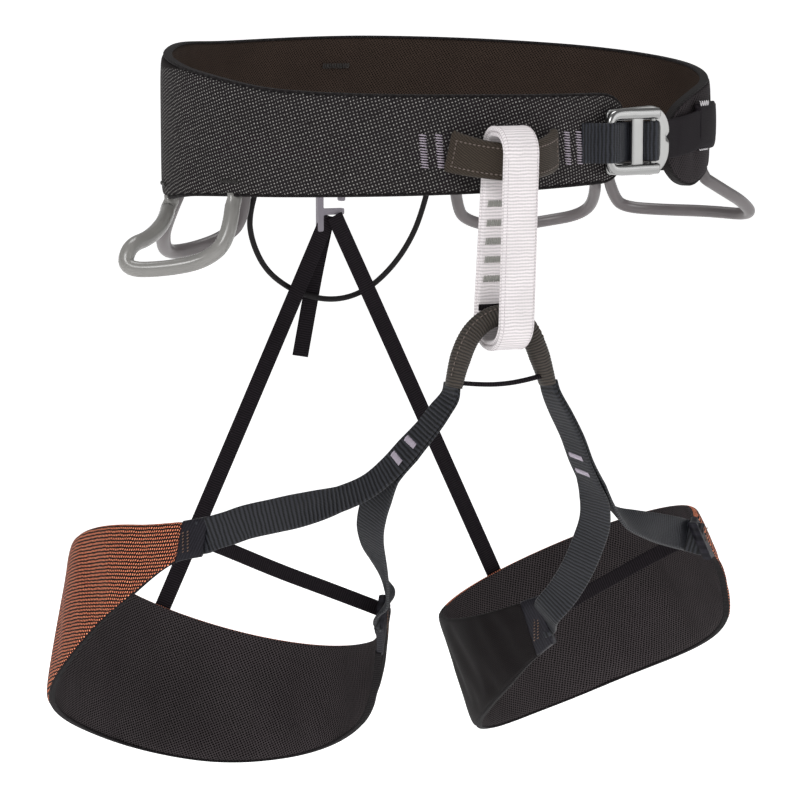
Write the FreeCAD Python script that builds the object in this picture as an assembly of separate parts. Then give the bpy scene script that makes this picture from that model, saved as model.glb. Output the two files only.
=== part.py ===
import FreeCAD, Part
import math
import os
from FreeCAD import Vector

# Climbing harness. Millimetres, +Z up. The origin is the centre of the waist opening,
# the wearer faces -Y, and +X is the wearer's left.

# ---- waist belt: plan is a four-arc oval with a different half width each side
HALF_DEPTH = 105.0
RIGHT_HALF_WIDTH = 128.5
LEFT_HALF_WIDTH = 157.0
RIGHT_HIP_RADIUS = 70.0
LEFT_HIP_RADIUS = 68.0
PAD_START = -70.0             # distance along the belt from front centre, towards the wearer's right
PAD_END = 668.0
PAD_STEP = 24.0
END_ROUND = 16.0              # length over which a pad end rounds off
END_KEEP = 0.42               # share of the height left at the very end
# (distance along the belt, lower edge z, upper edge z)
BELT_EDGES = [(-70, -28, 15), (0, -30.5, 15.5), (110, -33, 18), (160, -34.5, 26), (200, -38.5, 33),
              (240, -38.5, 38), (290, -37.5, 38), (387, -38, 39.5), (490, -36, 35), (560, -31, 27), (605, -28, 19),
              (640, -34, 12), (668, -27, 3)]
LINER_THICKNESS = 1.0
FOAM_THICKNESS = 3.2
WEBBING_THICKNESS = 1.2
SHELL_THICKNESS = 1.0
PLY_GAP = 0.15
FOAM_INSET = 2.0
BELT_WEBBING_HEIGHT = 38.0
WEBBING_END_INSET = 9.0
BINDING_THICKNESS = 1.4
BINDING_OVERHANG = 0.35

# ---- front hardware
TIE_IN_HALF_SPAN = 27.5
TIE_IN_X = -4.5
TIE_IN_BOW = 14.5
TIE_IN_SAG = 5.0
TIE_IN_Z = -10.5
TIE_IN_HEIGHT = 16.0
TIE_IN_PLY = 1.8
TIE_IN_GATHER = 0.15          # share of the height lost where the bow is gathered by the belay loop
SLEEVE_HEIGHT = 21.0
SLEEVE_WALL = 1.4
BAR_TACK_HEIGHT = 17.0
BAR_TACK_WIDTH = 4.0
BAR_TACK_THICKNESS = 0.9
FRONT_BAR_TACKS = [-34.5, -42.0, 31.0, 38.0]     # x of each tack beside the tie-in
STRAP_WIDTH = 20.0
STRAP_THICKNESS = 1.6
BUCKLE_CENTRE = Vector(75.0, -103.3, -8.5)
BUCKLE_TURN = 14.0            # degrees that the buckle faces towards the wearer's left
BUCKLE_LENGTH = 45.0
BUCKLE_HEIGHT = 36.0
FRAME_THICKNESS = 2.0
FRAME_FRONT = -1.0
FRAME_BAR = 6.5
SLIDER_LENGTH = 34.0
RAIL_HEIGHT = 5.4
RAIL_DEPTH = 4.2
RAIL_FILLET = 2.0
FRAME_FILLET = 0.7
LEFT_BAR_RADIUS = 1.8
RIGHT_BAR_RADIUS = 1.5
CENTRE_BAR = 7.5
PIN_ALONG = -BUCKLE_LENGTH / 2 + 4.0
PIN_OUT = 2.0
RIGHT_PIN_ALONG = -BUCKLE_LENGTH / 2 + SLIDER_LENGTH - 3.0
RIGHT_PIN_OUT = 1.6
KEEPER_WIDTH = 22.0
KEEPER_STATION = -162.0

# ---- belay loop and lower tie-in
LOOP_WIDTH = 18.0
LOOP_THICKNESS = 5.0
LOOP_X = -8.5
# centre line corners (y, z): top front, top rear, bottom rear, bottom front
LOOP_CORNERS = [(-141.5, -0.5), (-119.5, -0.5), (-107.5, -104.5), (-136.0, -104.5)]
LOOP_CORNER_RADII = [10.4, 7.5, 12.0, 13.0]
ARCH_SLEEVE_RADIUS = 5.4
ARCH_CORE_RADIUS = 3.9
ARCH_POINTS = [(-35.0, -122.0, -124.0), (-31.0, -122.0, -104.0), (-17.0, -122.0, -90.0),
               (0.0, -122.0, -90.5), (10.0, -122.0, -105.0), (16.0, -122.0, -125.0)]

# ---- leg loops
LEG_PLY = [1.0, 3.0, 1.0]     # liner, foam, outer fabric
LEG_WEBBING_WIDTH = 17.0
LEG_WEBBING_THICKNESS = 1.5
RISER_WIDTH = 9.0
RISER_THICKNESS = 1.2
# upper rim and its shadow 85 mm lower: centre (x, y) and radii; upper rim height =
# level + rise_x * cos + rise_y * sin of the angle from +X, plus a lift near the tabs
RIGHT_LEG = dict(top=(-98.5, 15.0, 77.0, 86.0), low=(-114.5, 13.0, 78.5, 84.0), level=-243.0, rise_x=-36.0,
                 rise_y=-29.0, start=-121.0, sweep=-277.0, elastic=[(0.03, 6.0), (0.97, 3.0)],
                 lifts=[(0.0, 9.0), (0.04, 3.5), (0.1, 0.0), (0.87, 0.0), (0.925, 5.0), (0.955, 10.0), (1.0, 10.5)],
                 widths=[(0.0, 19.0), (0.04, 21.0), (0.11, 42.0), (0.2, 68.0), (0.3, 80.0), (0.45, 80.0),
                         (0.6, 74.0), (0.72, 63.0), (0.86, 46.0), (0.925, 34.5), (0.955, 28.5), (1.0, 17.5)])
LEFT_LEG = dict(top=(97.0, 15.0, 60.0, 86.0), low=(132.7, 13.0, 68.8, 84.0), level=-245.0, rise_x=26.0,
                rise_y=-22.0, start=-47.0, sweep=269.0, elastic=[(0.03, 10.5), (0.97, 14.0)],
                lifts=[(0.0, -4.0), (0.045, -2.0), (0.1, 0.0), (1.0, 0.0)],
                widths=[(0.0, 20.0), (0.045, 26.0), (0.1, 46.0), (0.16, 67.0), (0.25, 79.0), (0.38, 83.0),
                        (0.5, 82.0), (0.65, 74.0), (0.8, 57.0), (0.9, 42.0), (0.955, 32.0), (1.0, 26.0)])
PAD_SHARE = (0.035, 0.968)    # part of the loop's sweep that the pad covers, between its two tabs

# ---- rear hardware
HOOK_LEFT = -12.0
HOOK_Y = 106.5
HOOK_TOP_Z = -42.0
HOOK_TIP_Z = -50.5
HOOK_BAR_Z = -54.4
HOOK_LOW_Z = -67.0
HOOK_WIDTH = 16.5
HOOK_BAR = 3.5
HOOK_THICKNESS = 3.0
RING_WALL = 1.2
HAUL_CORD_RADIUS = 1.6
HAUL_ROUTE = [(-50.5, 99.3, -42), (-53.5, 103.5, -56), (-50.5, 107, -71), (-42, 109, -87), (-28, 110.3, -98),
              (-12, 110.8, -104.5), (4, 110.8, -106), (19, 110.3, -101.5), (32, 109.2, -91.5), (43, 107.5, -77.5),
              (50.5, 104.5, -60), (54, 101.6, -42)]
TAIL_ROUTE = [(-5, 109.2, -58), (-10, 112.8, -88), (-13, 113.9, -105), (-19, 114.6, -137)]
TAIL_SIDE = (1, 0, -0.2)
TAIL_WIDTH = 9.5
GEAR_TUBE_RADIUS = 3.9
GEAR_CORE_RADIUS = 2.4
GEAR_END_OUT = 5.2            # out from the belt's inner face
GEAR_END_GAP = 0.6


def smooth(table, t):
    """Cubic through (position, value) pairs, flat beyond both ends."""
    t = min(max(t, table[0][0]), table[-1][0])
    last = len(table) - 2
    i = next((k for k in range(last + 1) if t <= table[k + 1][0]), last)

    def slope(k):
        low = max(k - 1, 0)
        high = min(k + 1, last + 1)
        return (table[high][1] - table[low][1]) / (table[high][0] - table[low][0])

    step = table[i + 1][0] - table[i][0]
    u = (t - table[i][0]) / step
    rise = table[i + 1][1] - table[i][1]
    ease = 3 * u**2 - 2 * u**3
    return (table[i][1] + rise * ease + step * ((u**3 - 2 * u**2 + u) * slope(i) + (u**3 - u**2) * slope(i + 1)))


def rail(points, parameters):
    curve = Part.BSplineCurve()
    curve.interpolate(Points=points, Parameters=parameters)
    return curve


def ruled_face(first, second):
    """Face spanned by straight lines between two rails that share their knots."""
    surface = Part.BSplineSurface()
    surface.buildFromPolesMultsKnots([first.getPoles(), second.getPoles()], [2, 2], first.getMultiplicities(),
                                     [0.0, 1.0], first.getKnots(), False, False, 1, first.Degree)
    return surface.toShape()


def ruled_solid(rows):
    """Solid whose cross-sections are four-cornered; rows lists the corners of each section in order."""
    middles = [(row[0] + row[1] + row[2] + row[3]) * 0.25 for row in rows]
    parameters = [0.0]
    for before, after in zip(middles, middles[1:]):
        parameters.append(parameters[-1] + before.distanceToPoint(after))
    rails = [rail([row[k] for row in rows], parameters) for k in range(4)]
    faces = [ruled_face(rails[k], rails[(k + 1) % 4]) for k in range(4)]
    for row in (rows[0], rows[-1]):
        low = Part.LineSegment(row[0], row[1]).toBSpline()
        high = Part.LineSegment(row[3], row[2]).toBSpline()
        cap = Part.BSplineSurface()
        cap.buildFromPolesMultsKnots([low.getPoles(), high.getPoles()], [2, 2], [2, 2], [0.0, 1.0], [0.0, 1.0],
                                     False, False, 1, 1)
        faces.append(cap.toShape())
    shell = Part.makeShell(faces)
    shell.sewShape()
    solid = Part.makeSolid(Part.Shell(shell.Faces))
    if solid.Volume < 0:
        solid.reverse()
    return solid


def strap(points, sides, width, thickness, lift=0.0):
    """Flat strap along a smooth line. sides gives its width direction at each point."""
    curve = Part.BSplineCurve()
    curve.interpolate([Vector(*p) for p in points])
    parameters = [curve.parameter(Vector(*p)) for p in points]
    rows = []
    for i in range(len(points) - 1):
        for share in (0.0, 0.5):
            rows.append((parameters[i] * (1 - share) + parameters[i + 1] * share,
                         Vector(*sides[i]).multiply(1 - share) + Vector(*sides[i + 1]).multiply(share)))
    rows.append((parameters[-1], Vector(*sides[-1])))
    sections = []
    for parameter, side in rows:
        centre = curve.value(parameter)
        along = curve.tangent(parameter)[0]
        across = (side - along * side.dot(along)).normalize()
        normal = along.cross(across).normalize()
        low = centre + normal * (lift - thickness / 2)
        high = centre + normal * (lift + thickness / 2)
        half = across * (width / 2)
        sections.append([low - half, high - half, high + half, low + half])
    return ruled_solid(sections)


def rounded_path(points, note=None, share=0.45):
    """Straight runs joined by tangent arcs, each as large as its two runs allow."""
    points = [Vector(*p) for p in points]
    edges = []
    radii = []
    here = points[0]
    for i in range(1, len(points) - 1):
        back = (points[i - 1] - points[i])
        ahead = (points[i + 1] - points[i])
        reach = share * min(back.Length, ahead.Length)
        back.normalize()
        ahead.normalize()
        turn = math.pi - back.getAngle(ahead)
        radius = reach / math.tan(turn / 2)
        radii.append(radius)
        first = points[i] + back * reach
        second = points[i] + ahead * reach
        centre_way = (back + ahead).normalize()
        middle = points[i] + centre_way * (radius / math.cos(turn / 2) - radius)
        edges.append(Part.LineSegment(here, first).toShape())
        edges.append(Part.Arc(first, middle, second).toShape())
        here = second
    edges.append(Part.LineSegment(here, points[-1]).toShape())
    wire = Part.Wire(edges)
    if note:
        print(note, "length", round(wire.Length, 1), "radii", [round(r, 1) for r in radii])
    return wire


def tube(wire, radius, hollow=0.0):
    start = wire.Edges[0]
    place = start.valueAt(start.FirstParameter)
    way = start.tangentAt(start.FirstParameter)

    def sweep(r):
        return wire.makePipeShell([Part.Wire(Part.makeCircle(r, place, way))], True, False)

    return sweep(radius).cut(sweep(hollow)) if hollow else sweep(radius)


# ------------------------------------------------------------------ belt plan
def quarter(half_width, hip_radius):
    """Offset, radius and turn of the long arc that meets the hip arc of one side."""
    offset = ((half_width - hip_radius)**2 - (HALF_DEPTH - hip_radius)**2) / (2 * (HALF_DEPTH - hip_radius))
    return offset, HALF_DEPTH + offset, math.atan2(half_width - hip_radius, offset)


def side_point(distance, half_width, hip_radius):
    """Plan point and normal at a distance from front centre along one side, with x positive outwards."""
    offset, long_radius, turn = quarter(half_width, hip_radius)
    long_arc = long_radius * turn
    hip_arc = hip_radius * (math.pi - 2 * turn)
    if distance < long_arc:
        angle = distance / long_radius
        normal = (math.sin(angle), -math.cos(angle))
        return (long_radius * normal[0], offset + long_radius * normal[1]), normal
    if distance < long_arc + hip_arc:
        angle = turn + (distance - long_arc) / hip_radius
        normal = (math.sin(angle), -math.cos(angle))
        return (half_width - hip_radius + hip_radius * normal[0], hip_radius * normal[1]), normal
    angle = math.pi - turn + (distance - long_arc - hip_arc) / long_radius
    normal = (math.sin(angle), -math.cos(angle))
    return (long_radius * normal[0], -offset + long_radius * normal[1]), normal


def half_length(half_width, hip_radius):
    offset, long_radius, turn = quarter(half_width, hip_radius)
    return 2 * long_radius * turn + hip_radius * (math.pi - 2 * turn)


RIGHT_LENGTH = half_length(RIGHT_HALF_WIDTH, RIGHT_HIP_RADIUS)
BELT_LENGTH = RIGHT_LENGTH + half_length(LEFT_HALF_WIDTH, LEFT_HIP_RADIUS)


def belt_normal(distance):
    """Plan point and outward normal; distance runs from front centre towards the wearer's right."""
    distance = distance % BELT_LENGTH
    if distance < RIGHT_LENGTH:
        (x, y), (nx, ny) = side_point(distance, RIGHT_HALF_WIDTH, RIGHT_HIP_RADIUS)
        return Vector(-x, y, 0), Vector(-nx, ny, 0)
    (x, y), (nx, ny) = side_point(BELT_LENGTH - distance, LEFT_HALF_WIDTH, LEFT_HIP_RADIUS)
    return Vector(x, y, 0), Vector(nx, ny, 0)


def on_belt(distance, out, z):
    point, normal = belt_normal(distance)
    return point + normal * out + Vector(0, 0, z)


def belt_edges(distance):
    """Lower and upper edge heights, drawn in towards the middle over the rounded pad ends."""
    low = smooth([(row[0], row[1]) for row in BELT_EDGES], distance)
    high = smooth([(row[0], row[2]) for row in BELT_EDGES], distance)
    depth = min(distance - PAD_START, PAD_END - distance, END_ROUND) / END_ROUND
    keep = END_KEEP + (1 - END_KEEP) * math.sqrt(max(0.0, 1 - (1 - depth)**2))
    middle = (low + high) / 2
    half = (high - low) / 2 * keep
    return middle - half, middle + half


def belt_stations(inset=0.0):
    """Distances along the belt: close together at the rounded ends, evenly spaced between them."""
    start = PAD_START + inset
    end = PAD_END - inset
    near = [0.0, 1.5, 4.5, 9.5, 16.0]
    count = int(round((end - start - 2 * near[-1]) / PAD_STEP))
    step = (end - start - 2 * near[-1]) / count
    middle = [start + near[-1] + step * k for k in range(1, count)]
    return [start + d for d in near] + middle + [end - d for d in reversed(near)]


def belt_ply(inner, outer, inset=0.0):
    rows = []
    for distance in belt_stations(inset):
        low, high = belt_edges(distance)
        rows.append([on_belt(distance, inner, low + inset), on_belt(distance, outer, low + inset),
                     on_belt(distance, outer, high - inset), on_belt(distance, inner, high - inset)])
    return ruled_solid(rows)


LINER_OUT = LINER_THICKNESS
FOAM_IN = LINER_OUT + PLY_GAP
FOAM_OUT = FOAM_IN + FOAM_THICKNESS
WEBBING_IN = FOAM_OUT + PLY_GAP
WEBBING_OUT = WEBBING_IN + WEBBING_THICKNESS
SHELL_IN = WEBBING_OUT + PLY_GAP
BELT_OUT = SHELL_IN + SHELL_THICKNESS


def belt_structural_webbing():
    rows = []
    for distance in belt_stations():
        if min(distance - PAD_START, PAD_END - distance) < WEBBING_END_INSET:
            continue
        low, high = belt_edges(distance)
        middle = (low + high) / 2
        half = min(BELT_WEBBING_HEIGHT, (high - low) - 6.0) / 2
        rows.append([on_belt(distance, WEBBING_IN, middle - half), on_belt(distance, WEBBING_OUT, middle - half),
                     on_belt(distance, WEBBING_OUT, middle + half), on_belt(distance, WEBBING_IN, middle + half)])
    return ruled_solid(rows)


def belt_binding(upper):
    """Folded tape that closes the upper or the lower edge of the pad."""
    rows = []
    for distance in belt_stations():
        low, high = belt_edges(distance)
        base = high + PLY_GAP if upper else low - PLY_GAP - BINDING_THICKNESS
        top = base + BINDING_THICKNESS
        rows.append([on_belt(distance, -BINDING_OVERHANG, base), on_belt(distance, BELT_OUT + BINDING_OVERHANG, base),
                     on_belt(distance, BELT_OUT + BINDING_OVERHANG, top), on_belt(distance, -BINDING_OVERHANG, top)])
    return ruled_solid(rows)


# ------------------------------------------------------------------ front hardware
def tie_in_bow(share):
    return math.cos(share * math.pi / 2)**0.8


def tie_in_centre(share):
    """Point of the bowed upper tie-in; share runs from -1 to 1 across its span."""
    x = TIE_IN_HALF_SPAN * share + TIE_IN_X
    base = on_belt(-x, BELT_OUT, 0).y
    bow = tie_in_bow(share)
    return Vector(x, base - 1.9 - SLEEVE_WALL - TIE_IN_BOW * bow, TIE_IN_Z - TIE_IN_SAG * bow)


def tie_in_band(inner, outer, height):
    steps = [-1.0, -0.93, -0.8, -0.6, -0.3, 0.0, 0.3, 0.6, 0.8, 0.93, 1.0]
    centres = [tie_in_centre(s) for s in steps]
    rows = []
    for i, centre in enumerate(centres):
        along = (centres[min(i + 1, len(centres) - 1)] - centres[max(i - 1, 0)]).normalize()
        out = along.cross(Vector(0, 0, 1)).normalize()
        half = Vector(0, 0, height / 2 * (1 - TIE_IN_GATHER * tie_in_bow(steps[i])))
        rows.append([centre + out * inner - half, centre + out * outer - half,
                     centre + out * outer + half, centre + out * inner + half])
    return ruled_solid(rows)


def upper_tie_in_sleeve():
    wall = TIE_IN_PLY / 2 + PLY_GAP
    outer = tie_in_band(-wall - SLEEVE_WALL, wall + SLEEVE_WALL, SLEEVE_HEIGHT)
    return outer.cut(tie_in_band(-wall, wall, TIE_IN_HEIGHT + 2 * PLY_GAP))


def front_bar_tacks():
    tacks = []
    for x in FRONT_BAR_TACKS:
        rows = []
        for z in (-BAR_TACK_HEIGHT / 2, 0.0, BAR_TACK_HEIGHT / 2):
            lean = 0.08 * z
            near = BELT_OUT + PLY_GAP
            far = near + BAR_TACK_THICKNESS
            left = -x - BAR_TACK_WIDTH / 2 - lean
            right = -x + BAR_TACK_WIDTH / 2 - lean
            rows.append([on_belt(left, near, TIE_IN_Z + z), on_belt(left, far, TIE_IN_Z + z),
                         on_belt(right, far, TIE_IN_Z + z), on_belt(right, near, TIE_IN_Z + z)])
        tacks.append(ruled_solid(rows))
    return Part.makeCompound(tacks)


def in_buckle(along, up, out):
    """Point in the buckle's own axes: along towards the wearer's left, up, and out from the belt."""
    turn = math.radians(BUCKLE_TURN)
    return BUCKLE_CENTRE + Vector(along * math.cos(turn) + out * math.sin(turn),
                                  along * math.sin(turn) - out * math.cos(turn), up)


def buckle_plate(outline, out_low, out_high):
    """Plate with rounded corners. outline: (along, up, corner radius) in order."""
    points = [Vector(a, b, 0) for a, b, r in outline]
    edges = []
    ends = []
    for i, (a, b, radius) in enumerate(outline):
        here = points[i]
        back = (points[i - 1] - here).normalize()
        ahead = (points[(i + 1) % len(points)] - here).normalize()
        turn = math.pi - back.getAngle(ahead)
        reach = radius * math.tan(turn / 2)
        middle = here + (back + ahead).normalize() * (radius / math.cos(turn / 2) - radius)
        ends.append((here + back * reach, middle, here + ahead * reach))
    for i, (first, middle, second) in enumerate(ends):
        edges.append(Part.Arc(first, middle, second).toShape())
        edges.append(Part.LineSegment(second, ends[(i + 1) % len(ends)][0]).toShape())
    plate = Part.Face(Part.Wire(edges)).extrude(Vector(0, 0, out_high - out_low))
    plate.translate(Vector(0, 0, out_low))
    return plate


def place_in_buckle(shape):
    """Turn a shape drawn as (along, up, out) into its place on the belt."""
    turn = math.radians(BUCKLE_TURN)
    matrix = FreeCAD.Matrix(math.cos(turn), 0, math.sin(turn), BUCKLE_CENTRE.x,
                            math.sin(turn), 0, -math.cos(turn), BUCKLE_CENTRE.y,
                            0, 1, 0, BUCKLE_CENTRE.z)
    shape.Placement = FreeCAD.Placement(matrix)
    return shape


def buckle_frame():
    half = BUCKLE_LENGTH / 2
    tall = BUCKLE_HEIGHT / 2
    back = FRAME_FRONT - FRAME_THICKNESS
    outer = buckle_plate([(-half + 3, -tall + 2, 3), (half, -tall, 13), (half, tall, 13), (-half + 3, tall - 2, 3)],
                         back, FRAME_FRONT)
    right = half - FRAME_BAR
    sill = tall - 7.5
    window = buckle_plate([(-half + 9, -sill, 1.5), (right, -sill, 4), (right, sill, 4), (-half + 9, sill, 1.5)],
                          back - 1, FRAME_FRONT + 1)
    plate = outer.cut(window)
    flat = [e for e in plate.Edges if abs(e.BoundBox.ZMax - e.BoundBox.ZMin) < 0.01]
    plate = plate.makeFillet(FRAME_FILLET, flat)
    notch = Part.makeCone(0.0, 3.6, 2.6, Vector(half - 0.3, 1.5, back - 0.2), Vector(0, 0, 1))
    return place_in_buckle(plate.cut(notch))


def buckle_slider():
    half = SLIDER_LENGTH / 2
    middle = -BUCKLE_LENGTH / 2 + half
    rail_up = BUCKLE_HEIGHT / 2 - RAIL_HEIGHT / 2 - 1.5
    rails = []
    for up in (-rail_up, rail_up):
        low = up - RAIL_HEIGHT / 2
        high = up + RAIL_HEIGHT / 2
        rail_plate = buckle_plate([(middle - half, low, 2.4), (middle + half, low, 2.4),
                                   (middle + half, high, 2.4), (middle - half, high, 2.4)], 0.0, RAIL_DEPTH)
        front = [e for e in rail_plate.Edges if e.BoundBox.ZMin > RAIL_DEPTH - 0.01]
        rails.append(rail_plate.makeFillet(RAIL_FILLET, front))
    span = 2 * rail_up
    bar = Part.makeBox(CENTRE_BAR, span, 1.8, Vector(middle - 1.0, -rail_up, 1.6))
    left_pin = Part.makeCylinder(LEFT_BAR_RADIUS, span, Vector(PIN_ALONG, -rail_up, PIN_OUT), Vector(0, 1, 0))
    right_pin = Part.makeCylinder(RIGHT_BAR_RADIUS, span, Vector(RIGHT_PIN_ALONG, -rail_up, RIGHT_PIN_OUT),
                                  Vector(0, 1, 0))
    return place_in_buckle(rails[0].fuse([rails[1], bar, left_pin, right_pin]).removeSplitter())


def flat_strap(route, width, thickness):
    """Upright strap through points given in the buckle's axes."""
    points = [in_buckle(a, b, c) for a, b, c in route]
    return strap([tuple(p) for p in points], [(0, 0, 1)] * len(points), width, thickness)


def buckle_anchor_webbing():
    """Comes off the belt, turns round the slider's left bar and lies back on itself."""
    wrap = LEFT_BAR_RADIUS + 0.35 + STRAP_THICKNESS / 2
    points = [on_belt(-41.8, BELT_OUT + 1.1, BUCKLE_CENTRE.z), on_belt(-45.5, BELT_OUT + 2.3, BUCKLE_CENTRE.z),
              in_buckle(PIN_ALONG - 5.0, 0, PIN_OUT + wrap - 1.2)]
    for angle in (90, 60, 30, 0, -30):
        turn = math.radians(angle)
        points.append(in_buckle(PIN_ALONG + wrap * math.cos(turn), 0, PIN_OUT + wrap * math.sin(turn)))
    return strap([tuple(p) for p in points], [(0, 0, 1)] * len(points), STRAP_WIDTH, STRAP_THICKNESS)


def buckle_strap_turn():
    """Stretch of the adjusting strap that is threaded through the buckle."""
    pin = RIGHT_PIN_ALONG
    over = RIGHT_PIN_OUT + RIGHT_BAR_RADIUS + 0.3 + STRAP_THICKNESS / 2
    under = FRAME_FRONT - FRAME_THICKNESS - 0.4 - STRAP_THICKNESS / 2
    route = [(pin - 5.2, 0, -1.4), (pin - 3.7, 0, 1.2), (pin, 0, over), (pin + 3.5, 0, 1.6), (pin + 4.5, 0, -1.0),
             (pin + 6.4, 0, under + 0.3), (BUCKLE_LENGTH / 2 - 3.0, 0, under - 0.2),
             (BUCKLE_LENGTH / 2 + 1.0, 0, under - 0.3)]
    return flat_strap(route, STRAP_WIDTH, STRAP_THICKNESS)


STRAP_STATIONS = [-96.5, -104.0, -112.0, -124.0, -138.0, -154.0, -172.0, -190.0]
STRAP_LIFT = 1.6
STRAP_LIFTS = [(-190.0, 1.6), (-116.0, 1.6), (-104.0, 2.6), (-96.5, 3.6)]
STRAP_HEIGHTS = [(-190.0, -9.0), (-160.0, -8.5), (-130.0, -9.0), (-103.0, -8.5)]


def adjust_strap():
    """Free end of the waist strap, along the outside of the belt on the wearer's left."""
    points = []
    for distance in STRAP_STATIONS:
        out = BELT_OUT + smooth(STRAP_LIFTS, distance)
        points.append(tuple(on_belt(distance, out, smooth(STRAP_HEIGHTS, distance))))
    return strap(points, [(0, 0, 1)] * len(points), STRAP_WIDTH, STRAP_THICKNESS)


def strap_keeper(station):
    """Elastic band round the belt end and the strap: four sides, standing off both."""
    z = smooth(STRAP_HEIGHTS, station)
    half = STRAP_WIDTH / 2 + 1.0
    inner = BELT_OUT + 0.4
    outer = BELT_OUT + STRAP_LIFT + STRAP_THICKNESS / 2 + 0.4
    wall = 1.0
    rows_out = []
    rows_in = []
    for share in (-0.5, -0.25, 0.0, 0.25, 0.5):
        distance = station + share * KEEPER_WIDTH
        for rows, grow in ((rows_out, wall), (rows_in, 0.0)):
            corners = [(inner - grow / 4, z - half - grow), (outer + grow, z - half - grow),
                       (outer + grow, z + half + grow), (inner - grow / 4, z + half + grow)]
            rows.append([on_belt(distance, out, height) for out, height in corners])
    return ruled_solid(rows_out).cut(ruled_solid(rows_in))


# ------------------------------------------------------------------ belay loop and lower tie-in
def belay_loop_outline(grow):
    """Closed side outline of the loop, grown from its centre line."""
    count = len(LOOP_CORNERS)
    points = [Vector(0, y, z) for y, z in LOOP_CORNERS]
    edges = []
    ends = []
    for i in range(count):
        here = points[i]
        back = (points[i - 1] - here).normalize()
        ahead = (points[(i + 1) % count] - here).normalize()
        turn = math.pi - back.getAngle(ahead)
        inward = (back + ahead).normalize()
        radius = LOOP_CORNER_RADII[i] + grow
        centre = here + inward * (LOOP_CORNER_RADII[i] / math.cos(turn / 2))
        out_back = (here + back * (LOOP_CORNER_RADII[i] * math.tan(turn / 2)) - centre).normalize()
        out_ahead = (here + ahead * (LOOP_CORNER_RADII[i] * math.tan(turn / 2)) - centre).normalize()
        ends.append((centre + out_back * radius, centre - inward * radius, centre + out_ahead * radius))
    for i, (first, middle, second) in enumerate(ends):
        edges.append(Part.Arc(first, middle, second).toShape())
        edges.append(Part.LineSegment(second, ends[(i + 1) % count][0]).toShape())
    return Part.Wire(edges)


def belay_loop():
    ring = Part.Face(belay_loop_outline(LOOP_THICKNESS / 2)).cut(Part.Face(belay_loop_outline(-LOOP_THICKNESS / 2)))
    ring.translate(Vector(LOOP_X - LOOP_WIDTH / 2, 0, 0))
    return ring.Faces[0].extrude(Vector(LOOP_WIDTH, 0, 0))


def rear_leg_y(z, out):
    """Outer face of the loop's rear leg at a height, plus a stand-off."""
    (top_y, top_z), (low_y, low_z) = LOOP_CORNERS[1], LOOP_CORNERS[2]
    share = (z - top_z) / (low_z - top_z)
    return top_y + (low_y - top_y) * share + LOOP_THICKNESS / 2 + out


def belay_loop_bar_tacks():
    """Five rows of stitching on the front face of the rear leg."""
    tacks = []
    for z in (-36.0, -45.5, -54.5, -63.5, -73.0):
        y = rear_leg_y(z, -LOOP_THICKNESS - 1.2)
        tacks.append(Part.makeBox(11.0, 0.8, 3.6, Vector(LOOP_X - 6.5, y, z - 1.8)))
    return Part.makeCompound(tacks)


def belay_loop_wear_strip():
    z = -87.0
    y = rear_leg_y(z, -LOOP_THICKNESS - 1.1)
    return Part.makeBox(LOOP_WIDTH - 1.0, 0.8, 3.0, Vector(LOOP_X - LOOP_WIDTH / 2 + 0.5, y, z - 1.5))


def lower_tie_in(radius, hollow=0.0):
    return tube(rounded_path(ARCH_POINTS), radius, hollow)


def lower_cross_strap():
    """Thin keeper that ties the two ends of the arch together."""
    left = Vector(*ARCH_POINTS[0]) + Vector(6.4, 0, 1.5)
    right = Vector(*ARCH_POINTS[-1]) + Vector(-7.3, 0, 3.5)
    middle = (left + right) * 0.5 + Vector(0, 0, -1.0)
    return strap([tuple(left), tuple(middle), tuple(right)], [(0, 1, 0)] * 3, 6.0, 1.4)


# ------------------------------------------------------------------ leg loops
def leg_angle(leg, share):
    return math.radians(leg["start"] + leg["sweep"] * share)


def leg_point(leg, share, down, out):
    """Point of a leg loop: share along its sweep, down from its upper rim, out from its inner face."""
    angle = leg_angle(leg, share)
    cosine = math.cos(angle)
    sine = math.sin(angle)
    top_x, top_y, top_a, top_b = leg["top"]
    low_x, low_y, low_a, low_b = leg["low"]
    depth = down / 85.0
    centre_x = top_x + (low_x - top_x) * depth
    centre_y = top_y + (low_y - top_y) * depth
    radius_x = top_a + (low_a - top_a) * depth
    radius_y = top_b + (low_b - top_b) * depth
    normal = Vector(cosine / radius_x, sine / radius_y, 0).normalize()
    z = leg["level"] + leg["rise_x"] * cosine + leg["rise_y"] * sine + smooth(leg["lifts"], share) - down
    return Vector(centre_x + radius_x * cosine, centre_y + radius_y * sine, z) + normal * out


def leg_band(leg, inner, outer, start, end, inset=0.0, count=18):
    rows = []
    for k in range(count + 1):
        share = start + (end - start) * k / count
        width = smooth(leg["widths"], share)
        rows.append([leg_point(leg, share, width - inset, inner), leg_point(leg, share, width - inset, outer),
                     leg_point(leg, share, inset, outer), leg_point(leg, share, inset, inner)])
    return ruled_solid(rows)


LEG_LINER_OUT = LEG_PLY[0]
LEG_FOAM_IN = LEG_LINER_OUT + PLY_GAP
LEG_FOAM_OUT = LEG_FOAM_IN + LEG_PLY[1]
LEG_SHELL_IN = LEG_FOAM_OUT + PLY_GAP
LEG_OUT = LEG_SHELL_IN + LEG_PLY[2]


def leg_tab(leg, first):
    """Stiff fused end of the pad, where the webbing and the elastic are sewn on."""
    start, end = (0.0, PAD_SHARE[0] - 0.002) if first else (PAD_SHARE[1] + 0.002, 1.0)
    return leg_band(leg, 1.2, LEG_OUT - 1.2, start, end, inset=0.5, count=3)


def save(name, shape):
    volume = shape.Volume
    state = "ok" if shape.isValid() and volume > 0 else "BAD"
    print("%-28s solids %d  volume %9.1f  %s" % (name, len(shape.Solids), volume, state))
    shape.exportStep("parts/%s.step" % name)


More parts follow.
